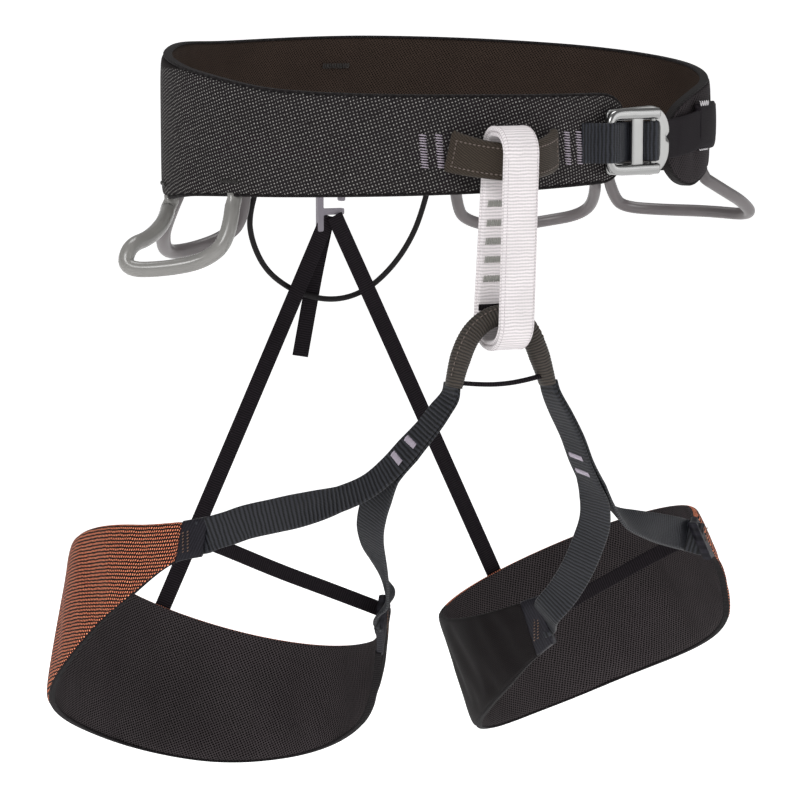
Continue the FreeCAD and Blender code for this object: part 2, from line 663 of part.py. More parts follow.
# Webbing from the arch down to each tab: (x, y, z) and the width direction at each point.
# The lateral and the medial strip lie on each other as far as the bar tacks, then part.
RIGHT_LATERAL = [((-37.5, -122, -128), (0.25, -0.95, -0.1)), ((-42, -121, -134.5), (0.25, -0.95, -0.1)),
                 ((-48, -119, -143), (0.25, -0.95, -0.1)), ((-57, -116, -154), (0.2, -0.95, -0.2)),
                 ((-65, -112, -164), (0.1, -0.95, -0.35)), ((-74, -106, -173), (-0.1, -0.85, -0.5)),
                 ((-86, -99, -179.5), (-0.3, -0.7, -0.65)), ((-98, -91, -184), (-0.2, -0.4, -0.9)),
                 ((-111, -82.5, -188), (0, 0, -1)), ((-124, -73.5, -192), (0, 0, -1)),
                 ((-131, -70.2, -195), (0, 0, -1)), ((-139.0, -66.6, -198), (0, 0, -1)),
                 ((-145.5, -62.6, -200), (0, 0, -1))]
RIGHT_MEDIAL = [((-36.1, -121.7, -129.2), (0.25, -0.95, -0.1)), ((-40.6, -120.7, -135.7), (0.25, -0.95, -0.1)),
                ((-46.6, -118.7, -144.2), (0.25, -0.95, -0.1)), ((-55.6, -115.7, -155.2), (0.2, -0.95, -0.2)),
                ((-62.5, -110.5, -166), (0.25, -0.95, -0.1)), ((-65.5, -103, -177), (0.35, -0.92, 0)),
                ((-66, -95, -188), (0.4, -0.92, 0)), ((-64, -87, -199), (0.35, -0.92, 0)),
                ((-59, -79, -210), (0.2, -0.95, 0)), ((-52, -70, -221), (-0.1, -0.99, 0)),
                ((-45, -61, -231.5), (-0.35, -0.92, 0)), ((-39, -52, -242), (-0.55, -0.83, 0)),
                ((-34.8, -45, -251), (-0.6, -0.8, 0))]
LEFT_MEDIAL = [((17.5, -122, -130), (0.45, -0.9, 0)), ((24, -120, -141), (0.45, -0.9, 0)),
               ((32, -117, -154), (0.45, -0.9, 0)), ((39, -113, -167), (0.45, -0.9, 0)),
               ((46, -109, -178), (0.45, -0.9, 0)), ((52, -104, -189), (0.5, -0.85, 0)),
               ((56, -97, -201), (0.6, -0.75, -0.1)), ((57, -88, -214), (0.72, -0.62, -0.25)),
               ((56, -78, -229), (0.75, -0.45, -0.45)), ((53.5, -66, -244), (0.6, -0.5, -0.6)),
               ((50, -56, -255), (0.45, -0.62, -0.64)), ((46.6, -48.8, -262), (0.4, -0.64, -0.64))]
LEFT_LATERAL = [((19.1, -121.3, -129), (0.45, -0.9, 0)), ((25.6, -119.3, -140), (0.45, -0.9, 0)),
                ((33.6, -116.3, -153), (0.45, -0.9, 0)), ((40.6, -112.3, -166), (0.42, -0.9, -0.05)),
                ((49.5, -107, -178), (0.3, -0.95, -0.1)), ((61, -98, -190.5), (0.1, -0.95, -0.2)),
                ((76, -87, -202), (-0.2, -0.9, -0.35)), ((94, -76.5, -209), (-0.2, -0.7, -0.65)),
                ((112, -68, -215), (-0.1, -0.35, -0.93)), ((125, -62, -219.5), (0, 0, -1)),
                ((133, -57.5, -222), (0, 0, -1)), ((138, -53, -223.5), (0, 0, -1))]


def leg_webbing(route):
    return strap([p for p, s in route], [s for p, s in route], LEG_WEBBING_WIDTH, LEG_WEBBING_THICKNESS)


def leg_bar_tacks(route):
    """Two rows of stitching where the doubled webbing parts."""
    tacks = []
    for before, after, share in ((2, 3, 0.75), (3, 4, 0.5)):
        first = Vector(*route[before][0])
        step = Vector(*route[after][0]) - first
        along = Vector(*step).normalize()
        side = Vector(*route[after][1])
        across = (side - along * side.dot(along)).normalize()
        outward = along.cross(across).normalize()
        centre = first + step * share + outward * (LEG_WEBBING_THICKNESS / 2 + 0.75)
        rows = []
        for reach in (-1.8, 0.0, 1.8):
            spot = centre + along * reach
            half = across * 5.0
            rows.append([spot - half - outward * 0.4, spot - half + outward * 0.4,
                         spot + half + outward * 0.4, spot + half - outward * 0.4])
        tacks.append(ruled_solid(rows))
    return Part.makeCompound(tacks)


def leg_elastic(leg):
    """Elastic across the open front of the loop, between the inner faces of its tabs."""
    (first_share, first_down), (last_share, last_down) = leg["elastic"]
    first = leg_point(leg, first_share, first_down, -0.3)
    second = leg_point(leg, last_share, last_down, -0.3)
    middle = (first + second) * 0.5 + Vector(0, 6.0, -1.0)
    return strap([tuple(first), tuple(middle), tuple(second)], [(0, 0, 1)] * 3, 10.0, 1.2)


def riser(foot, head, belly):
    """Elastic riser from the rear of a leg loop up to the hook."""
    foot = Vector(*foot)
    head = Vector(*head)
    way = (head - foot).normalize()
    side = way.cross(Vector(0, 1, 0)).normalize()
    middle = (foot + head) * 0.5 + Vector(0, belly, 0)
    return strap([tuple(foot), tuple(middle), tuple(head)], [tuple(side)] * 3, RISER_WIDTH, RISER_THICKNESS)


# ------------------------------------------------------------------ rear hardware and loops
def rear_hook():
    """Open plastic hook seen from the front: long left bar, top bar with a short tip, cross bar."""
    left = HOOK_LEFT
    right = HOOK_LEFT + HOOK_WIDTH
    bar = HOOK_BAR
    corners = [(left, HOOK_TOP_Z), (right, HOOK_TOP_Z), (right, HOOK_TIP_Z), (right - bar, HOOK_TIP_Z),
               (right - bar, HOOK_TOP_Z - bar), (left + bar, HOOK_TOP_Z - bar), (left + bar, HOOK_BAR_Z),
               (right - 0.6, HOOK_BAR_Z), (right - 0.6, HOOK_BAR_Z - bar), (left + bar, HOOK_BAR_Z - bar),
               (left + bar, HOOK_LOW_Z), (left, HOOK_LOW_Z)]
    points = [Vector(x, HOOK_Y - HOOK_THICKNESS / 2, z) for x, z in corners]
    solid = Part.Face(Part.makePolygon(points + [points[0]])).extrude(Vector(0, HOOK_THICKNESS, 0))
    upright = [e for e in solid.Edges if abs(e.tangentAt(e.FirstParameter).y) > 0.99]
    return solid.makeFillet(0.9, upright)


def hook_ring():
    """Webbing loop under the belt's lower edge that carries the hook's top bar."""
    inner_height = HOOK_BAR + 2.2
    inner_depth = HOOK_THICKNESS + 1.6
    low = HOOK_TOP_Z - HOOK_BAR - 1.3
    x = HOOK_LEFT + 4.2
    outer = Part.makeBox(8.0, inner_depth + 2 * RING_WALL, inner_height + 2 * RING_WALL,
                         Vector(x, HOOK_Y - inner_depth / 2 - RING_WALL, low - RING_WALL))
    inner = Part.makeBox(10.0, inner_depth, inner_height, Vector(x - 1, HOOK_Y - inner_depth / 2, low))
    return outer.cut(inner)


# the two ends of each loop as distances along the belt, and the points between them
GEAR_LOOPS = {
    "gear_loop_front_right": (137, [(-124.5, -52.8, -55), (-135, -47.1, -65.5), (-153, -39.1, -69.3),
                                    (-170.6, -28.6, -70), (-167, -25.5, -58.5), (-152.7, -16.7, -55.8),
                                    (-139.5, -3.5, -48.2)], 194),
    "gear_loop_rear_right": (231, [(-117.9, 53.8, -51.7), (-116.8, 66.4, -62.6), (-108.5, 84, -73.4),
                                   (-90.4, 93, -73), (-70.7, 96.1, -67.7), (-59.5, 96.8, -58)], 305),
    "gear_loop_rear_left": (431, [(71.4, 102.2, -54.6), (78, 106.7, -63.6), (98.6, 102.7, -68.6),
                                  (122.7, 94.1, -64.7), (139, 82, -60.8), (141.1, 68.5, -52)], 508),
    "gear_loop_front_left": (516, [(146.5, 56, -49.5), (153, 56, -55), (168.2, 42.3, -56),
                                   (184, 16.2, -55.4), (198.5, -8, -56.5), (185.8, -18.5, -48.1),
                                   (169.9, -26.4, -41.2)], 598)}


def gear_loop_end(distance):
    """Centre of a tube end, just under the belt's lower binding."""
    edge = belt_edges(distance)[0] - PLY_GAP - BINDING_THICKNESS
    return on_belt(distance, GEAR_END_OUT, edge - GEAR_TUBE_RADIUS - GEAR_END_GAP)


def gear_loop_path(start, points, end):
    return rounded_path([tuple(gear_loop_end(start))] + points + [tuple(gear_loop_end(end))])


def main():
    os.makedirs("parts", exist_ok=True)
    save("belt_inner_liner", belt_ply(0.0, LINER_OUT))
    save("belt_foam_core", belt_ply(FOAM_IN, FOAM_OUT, inset=FOAM_INSET))
    save("belt_structural_webbing", belt_structural_webbing())
    save("belt_outer_shell", belt_ply(SHELL_IN, BELT_OUT))
    save("belt_upper_binding", belt_binding(upper=True))
    save("belt_lower_binding", belt_binding(upper=False))
    save("upper_tie_in_webbing", tie_in_band(-TIE_IN_PLY / 2, TIE_IN_PLY / 2, TIE_IN_HEIGHT))
    save("upper_tie_in_sleeve", upper_tie_in_sleeve())
    save("front_bar_tacks", front_bar_tacks())
    save("buckle_frame", buckle_frame())
    save("buckle_slider", buckle_slider())
    save("buckle_anchor_webbing", buckle_anchor_webbing())
    save("buckle_strap_turn", buckle_strap_turn())
    save("adjust_strap", adjust_strap())
    save("strap_keeper", strap_keeper(KEEPER_STATION))
    save("belay_loop", belay_loop())
    save("belay_loop_bar_tacks", belay_loop_bar_tacks())
    save("belay_loop_wear_strip", belay_loop_wear_strip())
    save("lower_tie_in_core", lower_tie_in(ARCH_CORE_RADIUS))
    save("lower_tie_in_sleeve", lower_tie_in(ARCH_SLEEVE_RADIUS, ARCH_CORE_RADIUS + PLY_GAP))
    save("lower_cross_strap", lower_cross_strap())
    routes = {"right": (RIGHT_LATERAL, RIGHT_MEDIAL, RIGHT_LATERAL),
              "left": (LEFT_LATERAL, LEFT_MEDIAL, LEFT_MEDIAL)}
    for side, leg in (("right", RIGHT_LEG), ("left", LEFT_LEG)):
        start, end = PAD_SHARE
        save(side + "_leg_liner", leg_band(leg, 0.0, LEG_LINER_OUT, start, end))
        save(side + "_leg_foam", leg_band(leg, LEG_FOAM_IN, LEG_FOAM_OUT, start + 0.008, end - 0.008, inset=1.5))
        save(side + "_leg_outer", leg_band(leg, LEG_SHELL_IN, LEG_OUT, start, end))
        save(side + "_leg_lateral_tab", leg_tab(leg, True))
        save(side + "_leg_medial_tab", leg_tab(leg, False))
        save(side + "_leg_elastic", leg_elastic(leg))
        lateral, medial, outer_ply = routes[side]
        save(side + "_leg_lateral_webbing", leg_webbing(lateral))
        save(side + "_leg_medial_webbing", leg_webbing(medial))
        save(side + "_leg_bar_tacks", leg_bar_tacks(outer_ply))
    save("right_riser", riser((-104, 107.0, -270), (-5.5, 103.3, -62), -0.5))
    save("left_riser", riser((98, 107.0, -268), (0.0, 101.7, -61), -0.5))
    save("riser_tail", strap(TAIL_ROUTE, [TAIL_SIDE] * len(TAIL_ROUTE), TAIL_WIDTH, RISER_THICKNESS))
    save("rear_hook", rear_hook())
    save("hook_ring", hook_ring())
    save("haul_loop", tube(rounded_path(HAUL_ROUTE, "haul loop"), HAUL_CORD_RADIUS))
    for name, (start, points, end) in GEAR_LOOPS.items():
        path = gear_loop_path(start, points, end)
        save(name, tube(path, GEAR_TUBE_RADIUS, GEAR_CORE_RADIUS + PLY_GAP))
        save(name + "_core", tube(path, GEAR_CORE_RADIUS))


main()
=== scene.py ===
import math
import random

import bmesh
import bpy
from mathutils import Matrix, Vector


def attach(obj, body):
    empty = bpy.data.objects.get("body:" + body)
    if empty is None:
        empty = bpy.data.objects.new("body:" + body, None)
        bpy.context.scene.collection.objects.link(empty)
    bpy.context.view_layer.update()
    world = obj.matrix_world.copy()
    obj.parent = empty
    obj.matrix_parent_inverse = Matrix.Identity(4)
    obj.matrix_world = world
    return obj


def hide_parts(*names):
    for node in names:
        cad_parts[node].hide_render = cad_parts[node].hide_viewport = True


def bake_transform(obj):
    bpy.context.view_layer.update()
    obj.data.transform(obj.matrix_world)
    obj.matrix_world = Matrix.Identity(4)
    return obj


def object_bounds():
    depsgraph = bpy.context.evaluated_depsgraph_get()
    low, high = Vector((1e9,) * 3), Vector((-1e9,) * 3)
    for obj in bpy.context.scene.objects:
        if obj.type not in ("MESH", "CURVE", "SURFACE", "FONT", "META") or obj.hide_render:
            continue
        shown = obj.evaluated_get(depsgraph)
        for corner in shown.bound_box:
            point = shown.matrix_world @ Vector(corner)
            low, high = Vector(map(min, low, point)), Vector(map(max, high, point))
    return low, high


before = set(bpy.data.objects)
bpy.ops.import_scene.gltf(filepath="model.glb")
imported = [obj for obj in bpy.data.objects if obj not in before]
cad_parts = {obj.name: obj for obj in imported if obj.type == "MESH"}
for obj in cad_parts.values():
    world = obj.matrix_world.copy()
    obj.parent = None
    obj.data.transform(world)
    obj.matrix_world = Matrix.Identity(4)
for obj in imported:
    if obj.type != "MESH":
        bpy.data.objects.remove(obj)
cad_box = [list(corner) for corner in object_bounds()]
random.seed(11)

# Lengths are millimetres in the part's frame unless a comment says metres; meshes are made in metres.
MM = 0.001
UP = Vector((0, 0, 1))

# ---- camera: lens, turn and tilt, distance in metres and the point it looks at
CAMERA_LENS = 138.46
CAMERA_ANGLES = (math.radians(-24), math.radians(8))
CAMERA_DISTANCE = 1.6
CAMERA_TARGET = Vector((-15.9, -15.26, -145.21))

# ---- waist belt plan, as in the CAD: a four-arc oval with a different half width each side
HALF_DEPTH = 105
SIDES = {"right": (128.5, 70), "left": (157, 68)}
PAD_START = -70
PAD_END = 668
# distance round the belt from front centre, lower edge, upper edge
BELT_EDGES = [(-70, -28, 15), (0, -30.5, 15.5), (110, -33, 18), (160, -34.5, 26), (200, -38.5, 33),
              (240, -38.5, 38), (290, -37.5, 38), (387, -38, 39.5), (490, -36, 35), (560, -31, 27),
              (605, -28, 19), (640, -34, 12), (668, -27, 3)]
END_ROUND = 16   # length over which each end of the belt rounds off
END_KEEP = 0.42   # share of its height at the very end
BELT_OUT = 6.85
MESH_END = 592   # from here to the belt's end its outer face is plain mesh
BELT_BACK = 362
CLOTH_FRAMES = 18   # length of the simulations that swell the pads

# ---- leg loops: centre and radii of the upper rim and of its shadow some way lower
SHADOW_DROP = 85
RIGHT_LEG = dict(side="right", top=(-98.5, 15, 77, 86), low=(-114.5, 13, 78.5, 84), level=-243,
                 rise_x=-36, rise_y=-29, start=-121, sweep=-277, elastic=[(0.03, 6), (0.97, 3)],
                 lifts=[(0, 9), (0.04, 3.5), (0.1, 0), (0.87, 0), (0.925, 5), (0.955, 10), (1, 10.5)],
                 widths=[(0, 19), (0.04, 21), (0.11, 42), (0.2, 68), (0.3, 80), (0.45, 80),
                         (0.6, 74), (0.72, 63), (0.86, 46), (0.925, 34.5), (0.955, 28.5), (1, 17.5)])
LEFT_LEG = dict(side="left", top=(97, 15, 60, 86), low=(132.7, 13, 68.8, 84), level=-245,
                rise_x=26, rise_y=-22, start=-47, sweep=269, elastic=[(0.03, 10.5), (0.97, 14)],
                lifts=[(0, -4), (0.045, -2), (0.1, 0), (1, 0)],
                widths=[(0, 20), (0.045, 26), (0.1, 46), (0.16, 67), (0.25, 79), (0.38, 83),
                        (0.5, 82), (0.65, 74), (0.8, 57), (0.9, 42), (0.955, 32), (1, 26)])
# shares of the sweep that each leg's pad covers; fused tabs carry on past both ends
PAD_SHARE = {"right": (0.029, 0.968), "left": (0.017, 0.977)}
LEG_OUT = 5.3
LEG_COLOUR_END = {"right": 0.8, "left": 0.66}   # share of the sweep where two-tone cloth gives way to twill
# plain rolled rim on the right hip: middle along the belt, narrowness, height there, rise per millimetre
HIP_ROLL = (285, 0.00012, 38.5, 0.045)

# ---- front hardware
TIE_IN_HALF_SPAN = 27.5
TIE_IN_X = -4.5
TIE_IN_BOW = 14.5
TIE_IN_SAG = 5
TIE_IN_Z = -10.5
TIE_IN_GATHER = 0.15
SLEEVE_HEIGHT = 21
SLEEVE_DEPTH = 4.7
FRONT_BAR_TACKS = [-34.5, -42, 31, 38]
BUCKLE_CENTRE = Vector((75, -103.3, -8.5))
BUCKLE_TURN = math.radians(14)
BUCKLE_LENGTH = 45
PIN_ALONG = -BUCKLE_LENGTH / 2 + 4
PIN_OUT = 2
RIGHT_PIN_ALONG = -BUCKLE_LENGTH / 2 + 31
STRAP_WIDTH = 20
STRAP_THICKNESS = 1.6
BUCKLE_RIB = (1.9, 0.16)
STRAP_STATIONS = [-94, -96.5, -104, -112, -124, -138, -154, -172, -190]
STRAP_LIFTS = [(-190, 1.3), (-172, 1.3), (-130, 1.5), (-104, 2.6), (-96.5, 3.6)]
STRAP_HEIGHTS = [(-190, -3.2), (-165, -3.6), (-140, -5), (-120, -7.2), (-103, -8.5)]
KEEPER_STATION = -152
KEEPER_WIDTH = 34

# ---- belay loop and lower tie-in
LOOP_WIDTH = 18
LOOP_THICKNESS = 5
LOOP_PLY = 2.4
LOOP_PLY_OUT = 1.22
LOOP_X = -8.5
LOOP_CORNERS = [(-141.5, -0.5), (-119.5, -0.5), (-107.5, -104.5), (-136, -104.5)]
LOOP_CORNER_RADII = [10.4, 7.5, 12, 13]
ARCH_RADIUS = 5.4
ARCH_POINTS = [(-35, -122, -124), (-31, -122, -104), (-17, -122, -90),
               (0, -122, -90.5), (10, -122, -105), (16, -122, -125)]

# ---- webbing from the arch to the leg tabs: point and width direction. A leg's two plies start together.
LEG_WEBBING_WIDTH = 17
LEG_WEBBING_THICKNESS = 1.5
LEG_RIB = (2.1, 0.15)


def shifted(rows, step):
    """The same rows for the ply that lies a step behind."""
    return [(tuple(a + b for a, b in zip(point, step)), side) for point, side in rows]


RIGHT_RUN = [((-37.5, -122, -128), (0.12, -0.98, -0.1)), ((-42, -121, -134.5), (0.12, -0.98, -0.1)),
             ((-48, -119, -143), (0.12, -0.98, -0.1)), ((-57, -116, -154), (0.2, -0.95, -0.2))]
RIGHT_LATERAL = RIGHT_RUN + [
    ((-65, -112, -164), (0.1, -0.95, -0.35)), ((-74, -106, -173), (-0.1, -0.85, -0.5)),
    ((-86, -99, -179.5), (-0.3, -0.7, -0.65)), ((-98, -91, -184), (-0.2, -0.4, -0.9)),
    ((-111, -82.5, -188), (0, 0, -1)), ((-124, -73.5, -192), (0, 0, -1)), ((-131, -69.2, -195), (0, 0, -1)),
    ((-139, -64.6, -198), (0, 0, -1)), ((-146.2, -59.8, -200), (0, 0, -1))]
RIGHT_MEDIAL = shifted(RIGHT_RUN, (1.4, 0.3, -1.2)) + [
    ((-62.5, -110.5, -166), (0.12, -0.98, -0.1)), ((-65.5, -103, -177), (0.35, -0.92, 0)),
    ((-66, -95, -188), (0.4, -0.92, 0)), ((-64, -87, -199), (0.35, -0.92, 0)),
    ((-59, -79, -210), (0.2, -0.95, 0)), ((-52, -70, -221), (-0.1, -0.99, 0)),
    ((-45, -61, -231.5), (-0.35, -0.92, 0)), ((-39, -52, -242), (-0.55, -0.83, 0)),
    ((-34.8, -45, -251), (-0.6, -0.8, 0))]
LEFT_RUN = [((17.5, -122, -130), (0.2, -0.97, 0)), ((24, -120, -141), (0.2, -0.97, 0)),
            ((32, -117, -154), (0.2, -0.97, 0))]
LEFT_MEDIAL = LEFT_RUN + [
    ((39, -113, -167), (0.2, -0.97, 0)), ((46, -109, -178), (0.2, -0.97, 0)),
    ((52, -104, -189), (0.5, -0.85, 0)), ((56, -97, -201), (0.6, -0.75, -0.1)),
    ((57, -88, -214), (0.72, -0.62, -0.25)), ((56, -78, -229), (0.75, -0.45, -0.45)),
    ((53.5, -66, -244), (0.6, -0.5, -0.6)),
    ((50, -56, -255), (0.45, -0.62, -0.64)), ((46.6, -48.8, -262), (0.4, -0.64, -0.64))]
LEFT_LATERAL = shifted(LEFT_RUN, (1.6, 0.7, 1)) + [
    ((40.6, -112.3, -166), (0.25, -0.95, -0.05)), ((49.5, -107, -178), (0.3, -0.95, -0.1)),
    ((61, -98, -190.5), (0.1, -0.95, -0.2)), ((76, -87, -202), (-0.2, -0.9, -0.35)),
    ((94, -76, -209), (-0.2, -0.7, -0.65)), ((113, -64, -215), (-0.1, -0.35, -0.93)),
    ((129, -53.5, -220), (0, 0, -1)), ((138, -46, -223), (0, 0, -1)), ((142.6, -39.8, -224.5), (0, 0, -1))]

# ---- rear: each riser's foot, the point it is drawn towards and its top
RISERS = {"right": ((-104, 107, -270), (-5.5, 103.3, -62), (-5.2, 105.6, -58.4)),
          "left": ((98, 107, -268), (0, 101.7, -61), (-2.6, 103.6, -58.4))}
RISER_TAIL = [(-5, 109.2, -58.8), (-5.6, 109.7, -63), (-10, 112.8, -88), (-13, 113.9, -105),
              (-19, 114.6, -137)]
HAUL_RADIUS = 1.6
HAUL_ROUTE = [(-50.5, 99.3, -42), (-53.5, 103.5, -56), (-50.5, 107, -71), (-42, 109, -87), (-28, 110.3, -98),
              (-12, 110.8, -104.5), (4, 110.8, -106), (19, 110.3, -101.5), (32, 109.2, -91.5),
              (43, 107.5, -77.5), (50.5, 104.5, -60), (54, 101.6, -42)]
GEAR_RADIUS = 3.9
LEFT_GEAR_RADIUS = 3.3
GEAR_LOOPS = {
    "front_right": (137, [(-124.5, -52.8, -55), (-135, -47.1, -65.5), (-153, -39.1, -69.3),
                          (-170.6, -28.6, -70), (-167, -25.5, -58.5), (-152.7, -16.7, -55.8),
                          (-139.5, -3.5, -48.2)], 194),
    "rear_right": (231, [(-117.9, 53.8, -51.7), (-116.8, 66.4, -62.6), (-108.5, 84, -73.4),
                         (-90.4, 93, -73), (-70.7, 96.1, -67.7), (-59.5, 96.8, -58)], 305),
    "rear_left": (431, [(71.4, 102.2, -54.6), (78, 106.7, -63.6), (98.6, 102.7, -68.6),
                        (122.7, 94.1, -64.7), (139, 82, -60.8), (141.1, 68.5, -52)], 508),
    "front_left": (516, [(146.5, 56, -49.5), (153, 56, -55), (168.2, 42.3, -56), (184, 16.2, -55.4),
                         (198.5, -8, -56.5), (185.8, -18.5, -48.1), (169.9, -26.4, -41.2)], 598)}


# ================ camera and cord first
def add_camera():
    data = bpy.data.cameras.new("camera")
    data.lens = CAMERA_LENS
    data.sensor_width = 36.0
    camera = bpy.data.objects.new("camera", data)
    azimuth, elevation = CAMERA_ANGLES
    right = Vector((math.cos(azimuth), math.sin(azimuth), 0))
    back = Vector((math.sin(azimuth) * math.cos(elevation), -math.cos(azimuth) * math.cos(elevation),
                   math.sin(elevation)))
    turn = Matrix((right, back.cross(right), back)).transposed().to_4x4()
    camera.matrix_world = Matrix.Translation(CAMERA_TARGET * MM + back * CAMERA_DISTANCE) @ turn
    bpy.context.scene.collection.objects.link(camera)
    bpy.context.scene.camera = camera


# ================ materials
class Value:
    """A number in a material's node tree. Arithmetic on it adds Math nodes."""

    def __init__(self, look, socket):
        self.look = look
        self.socket = socket

    def __add__(self, other):
        return self.look.math("ADD", self, other)

    def __sub__(self, other):
        return self.look.math("SUBTRACT", self, other)

    def __rsub__(self, other):
        return self.look.math("SUBTRACT", other, self)

    def __mul__(self, other):
        return self.look.math("MULTIPLY", self, other)


class Look:
    """A Principled material whose nodes are wired by short calls."""

    def __init__(self, name, roughness=0.8, sheen=0.0, specular=0.5, metallic=0.0):
        self.material = bpy.data.materials.new(name)
        self.material.use_nodes = True
        self.tree = self.material.node_tree
        self.shader = self.tree.nodes["Principled BSDF"]
        self.give(self.shader, {"Roughness": roughness, "Sheen Weight": sheen, "Sheen Roughness": 0.5,
                                "Specular IOR Level": specular, "Metallic": metallic})

    def feed(self, socket, value):
        """Link a value or an output into the socket, or set a plain number or colour on it."""
        if isinstance(value, Value):
            value = value.socket
        if isinstance(value, bpy.types.NodeSocket):
            self.tree.links.new(value, socket)
        else:
            socket.default_value = value

    def give(self, node, values):
        for name, value in values.items():
            self.feed(node.inputs[name], value)

    def node(self, kind, values, **settings):
        """A new node with its settings, and with values for its inputs by name."""
        made = self.tree.nodes.new(kind)
        for key, value in settings.items():
            setattr(made, key, value)
        self.give(made, values)
        return made

    def math(self, operation, *values):
        made = self.node("ShaderNodeMath", {}, operation=operation)
        for socket, value in zip(made.inputs, values):
            self.feed(socket, value)
        return Value(self, made.outputs[0])

    def cloth_place(self):
        return self.node("ShaderNodeUVMap", {}, uv_map="weave").outputs[0]

    def solid_place(self):
        return self.node("ShaderNodeTexCoord", {}).outputs["Object"]

    def noise(self, place, scale, detail=3.0):
        made = self.node("ShaderNodeTexNoise", {"Vector": place, "Scale": scale, "Detail": detail})
        return Value(self, made.outputs[0])

    def cloth_noise(self, scale, detail=3.0):
        return self.noise(self.cloth_place(), scale, detail)

    def weave(self):
        """Distance along the piece and across it, in millimetres, a little uneven as cloth is."""
        place = self.cloth_place()
        split = self.node("ShaderNodeSeparateXYZ", {"Vector": place})
        drift = (self.noise(place, 0.22, 1.0) - 0.5) * 0.9
        return Value(self, split.outputs[0]) + drift, Value(self, split.outputs[1]) + drift

    def wave(self, value, pitch):
        """0 to 1 cosine of a distance."""
        return self.math("COSINE", value * (2 * math.pi / pitch)) * 0.5 + 0.5

    def turned(self, place, degrees):
        """A place (u, v) in axes turned by some degrees."""
        u, v = place
        cosine = math.cos(math.radians(degrees))
        sine = math.sin(math.radians(degrees))
        return u * cosine + v * sine, v * cosine - u * sine

    def step(self, value, low, high):
        """0 below low, 1 above high, and smooth between them."""
        values = {"Value": value, "From Min": low, "From Max": high}
        made = self.node("ShaderNodeMapRange", values, interpolation_type="SMOOTHSTEP")
        return Value(self, made.outputs[0])

    def mix(self, factor, first, second):
        made = self.node("ShaderNodeMix", {"Factor": factor, "A": first, "B": second}, data_type="RGBA")
        return made.outputs["Result"]

    def patchy(self, colour, scale, spread):
        """The colour, a little lighter and darker in broad soft patches."""
        return self.mix(self.cloth_noise(scale), shade(colour, 1 - spread), shade(colour, 1 + spread))

    def done(self, colour, height, strength, depth):
        """The material, with its colour and with bumps of a depth in millimetres."""
        bump = self.node("ShaderNodeBump", {"Strength": strength, "Distance": depth * MM, "Height": height})
        self.give(self.shader, {"Base Color": colour, "Normal": bump.outputs[0]})
        return self.material


def shade(colour, factor=1.0):
    """A (red, green, blue) colour made lighter or darker, as a node takes it."""
    return tuple(part * factor for part in colour) + (1.0,)


def shell_cloth():
    """Charcoal cloth with pale yarn dots on a turned lattice; plain black along the hip's rim."""
    look = Look("belt_shell_cloth", roughness=0.85, specular=0.08)
    u, v = look.weave()
    a, b = look.turned((u, v), -17.0)
    dots = look.wave(a, 1.68) * look.wave(b, 1.68)
    uneven = look.cloth_noise(0.75, 1.0) * 1.5 - 0.25
    ground = look.patchy((0.0125, 0.0105, 0.0115), 0.03, 0.2)
    cloth = look.mix(look.step(dots, 0.40, 0.92) * uneven, ground, shade((0.40, 0.39, 0.37)))
    middle, narrowness, level, slope = HIP_ROLL
    near = u - middle
    rolled = look.math("EXPONENT", near * near * -narrowness) * 11.0
    plain = look.step(v - (near * slope + level) + rolled, -0.8, 0.8)
    height = dots * (1.0 - plain) + look.cloth_noise(1.2) * 0.4
    return look.done(look.mix(plain, cloth, shade((0.010, 0.008, 0.008))), height, 0.5, 0.35)


def mesh_cloth(name, ground, hole, pitch, degrees=33.0, open_share=(0.18, 0.6)):
    """Fine mesh: dark holes on a lattice, with a diagonal lie."""
    look = Look(name, specular=0.06)
    a, b = look.turned(look.weave(), degrees)
    holes = look.wave(a, pitch) * look.wave(b, pitch * 0.8)
    colour = look.mix(look.step(holes, *open_share), look.patchy(ground, 0.03, 0.25), shade(hole))
    return look.done(colour, 1.0 - holes, 0.6, 0.3)


def plain_twill(name, colour, pitch, degrees, roughness, sheen, depth):
    """Fine diagonal ribs, lighter on their tops as painted light and darker between them as painted shade."""
    look = Look(name, roughness, sheen, specular=0.12)
    a, b = look.turned(look.weave(), degrees)
    rib = look.wave(a, pitch) * (look.wave(b, 1.3) * 0.4 + 0.6)
    top = look.patchy([part * 1.25 for part in colour], 0.08, 0.2)
    return look.done(look.mix(rib, shade(colour, 0.45), top), rib, 0.5, depth)


def two_tone_cloth():
    """Rows of orange yarn dots between black rows."""
    look = Look("leg_two_tone_cloth", roughness=0.7, specular=0.1)
    u, v = look.weave()
    row = look.step(look.wave(v, 1.75), 0.28, 0.62)
    columns = look.wave(v * 0.4 + u, 1.5)
    bright = look.mix(look.cloth_noise(0.8, 1.0), shade((0.80, 0.12, 0.06)), shade((1.0, 0.48, 0.25)))
    yarn = look.mix(look.step(columns, 0.5, 0.85), shade((0.040, 0.004, 0.004)), bright)
    colour = look.mix(row, look.patchy((0.008, 0.006, 0.006), 0.03, 0.2), yarn)
    return look.done(colour, row * (columns * 0.75 + 0.25), 0.7, 0.4)


def webbing(name, colour, pitch, roughness, depth, light, dark=0.35, specular=0.35):
    """Ribs across a strap, fine warp yarns along it; light and dark scale its colour on and between ribs, as
    painted light on the rib tops and painted shade in the grooves.
    """
    look = Look(name, roughness, specular=specular)
    u, v = look.weave()
    height = look.wave(v, 0.8) * 0.25 + look.wave(u, pitch) * 0.75
    top = look.patchy([part * light for part in colour], 0.06, 0.18)
    return look.done(look.mix(look.step(height, 0.1, 0.8), shade(colour, dark), top), height, 0.6, depth)


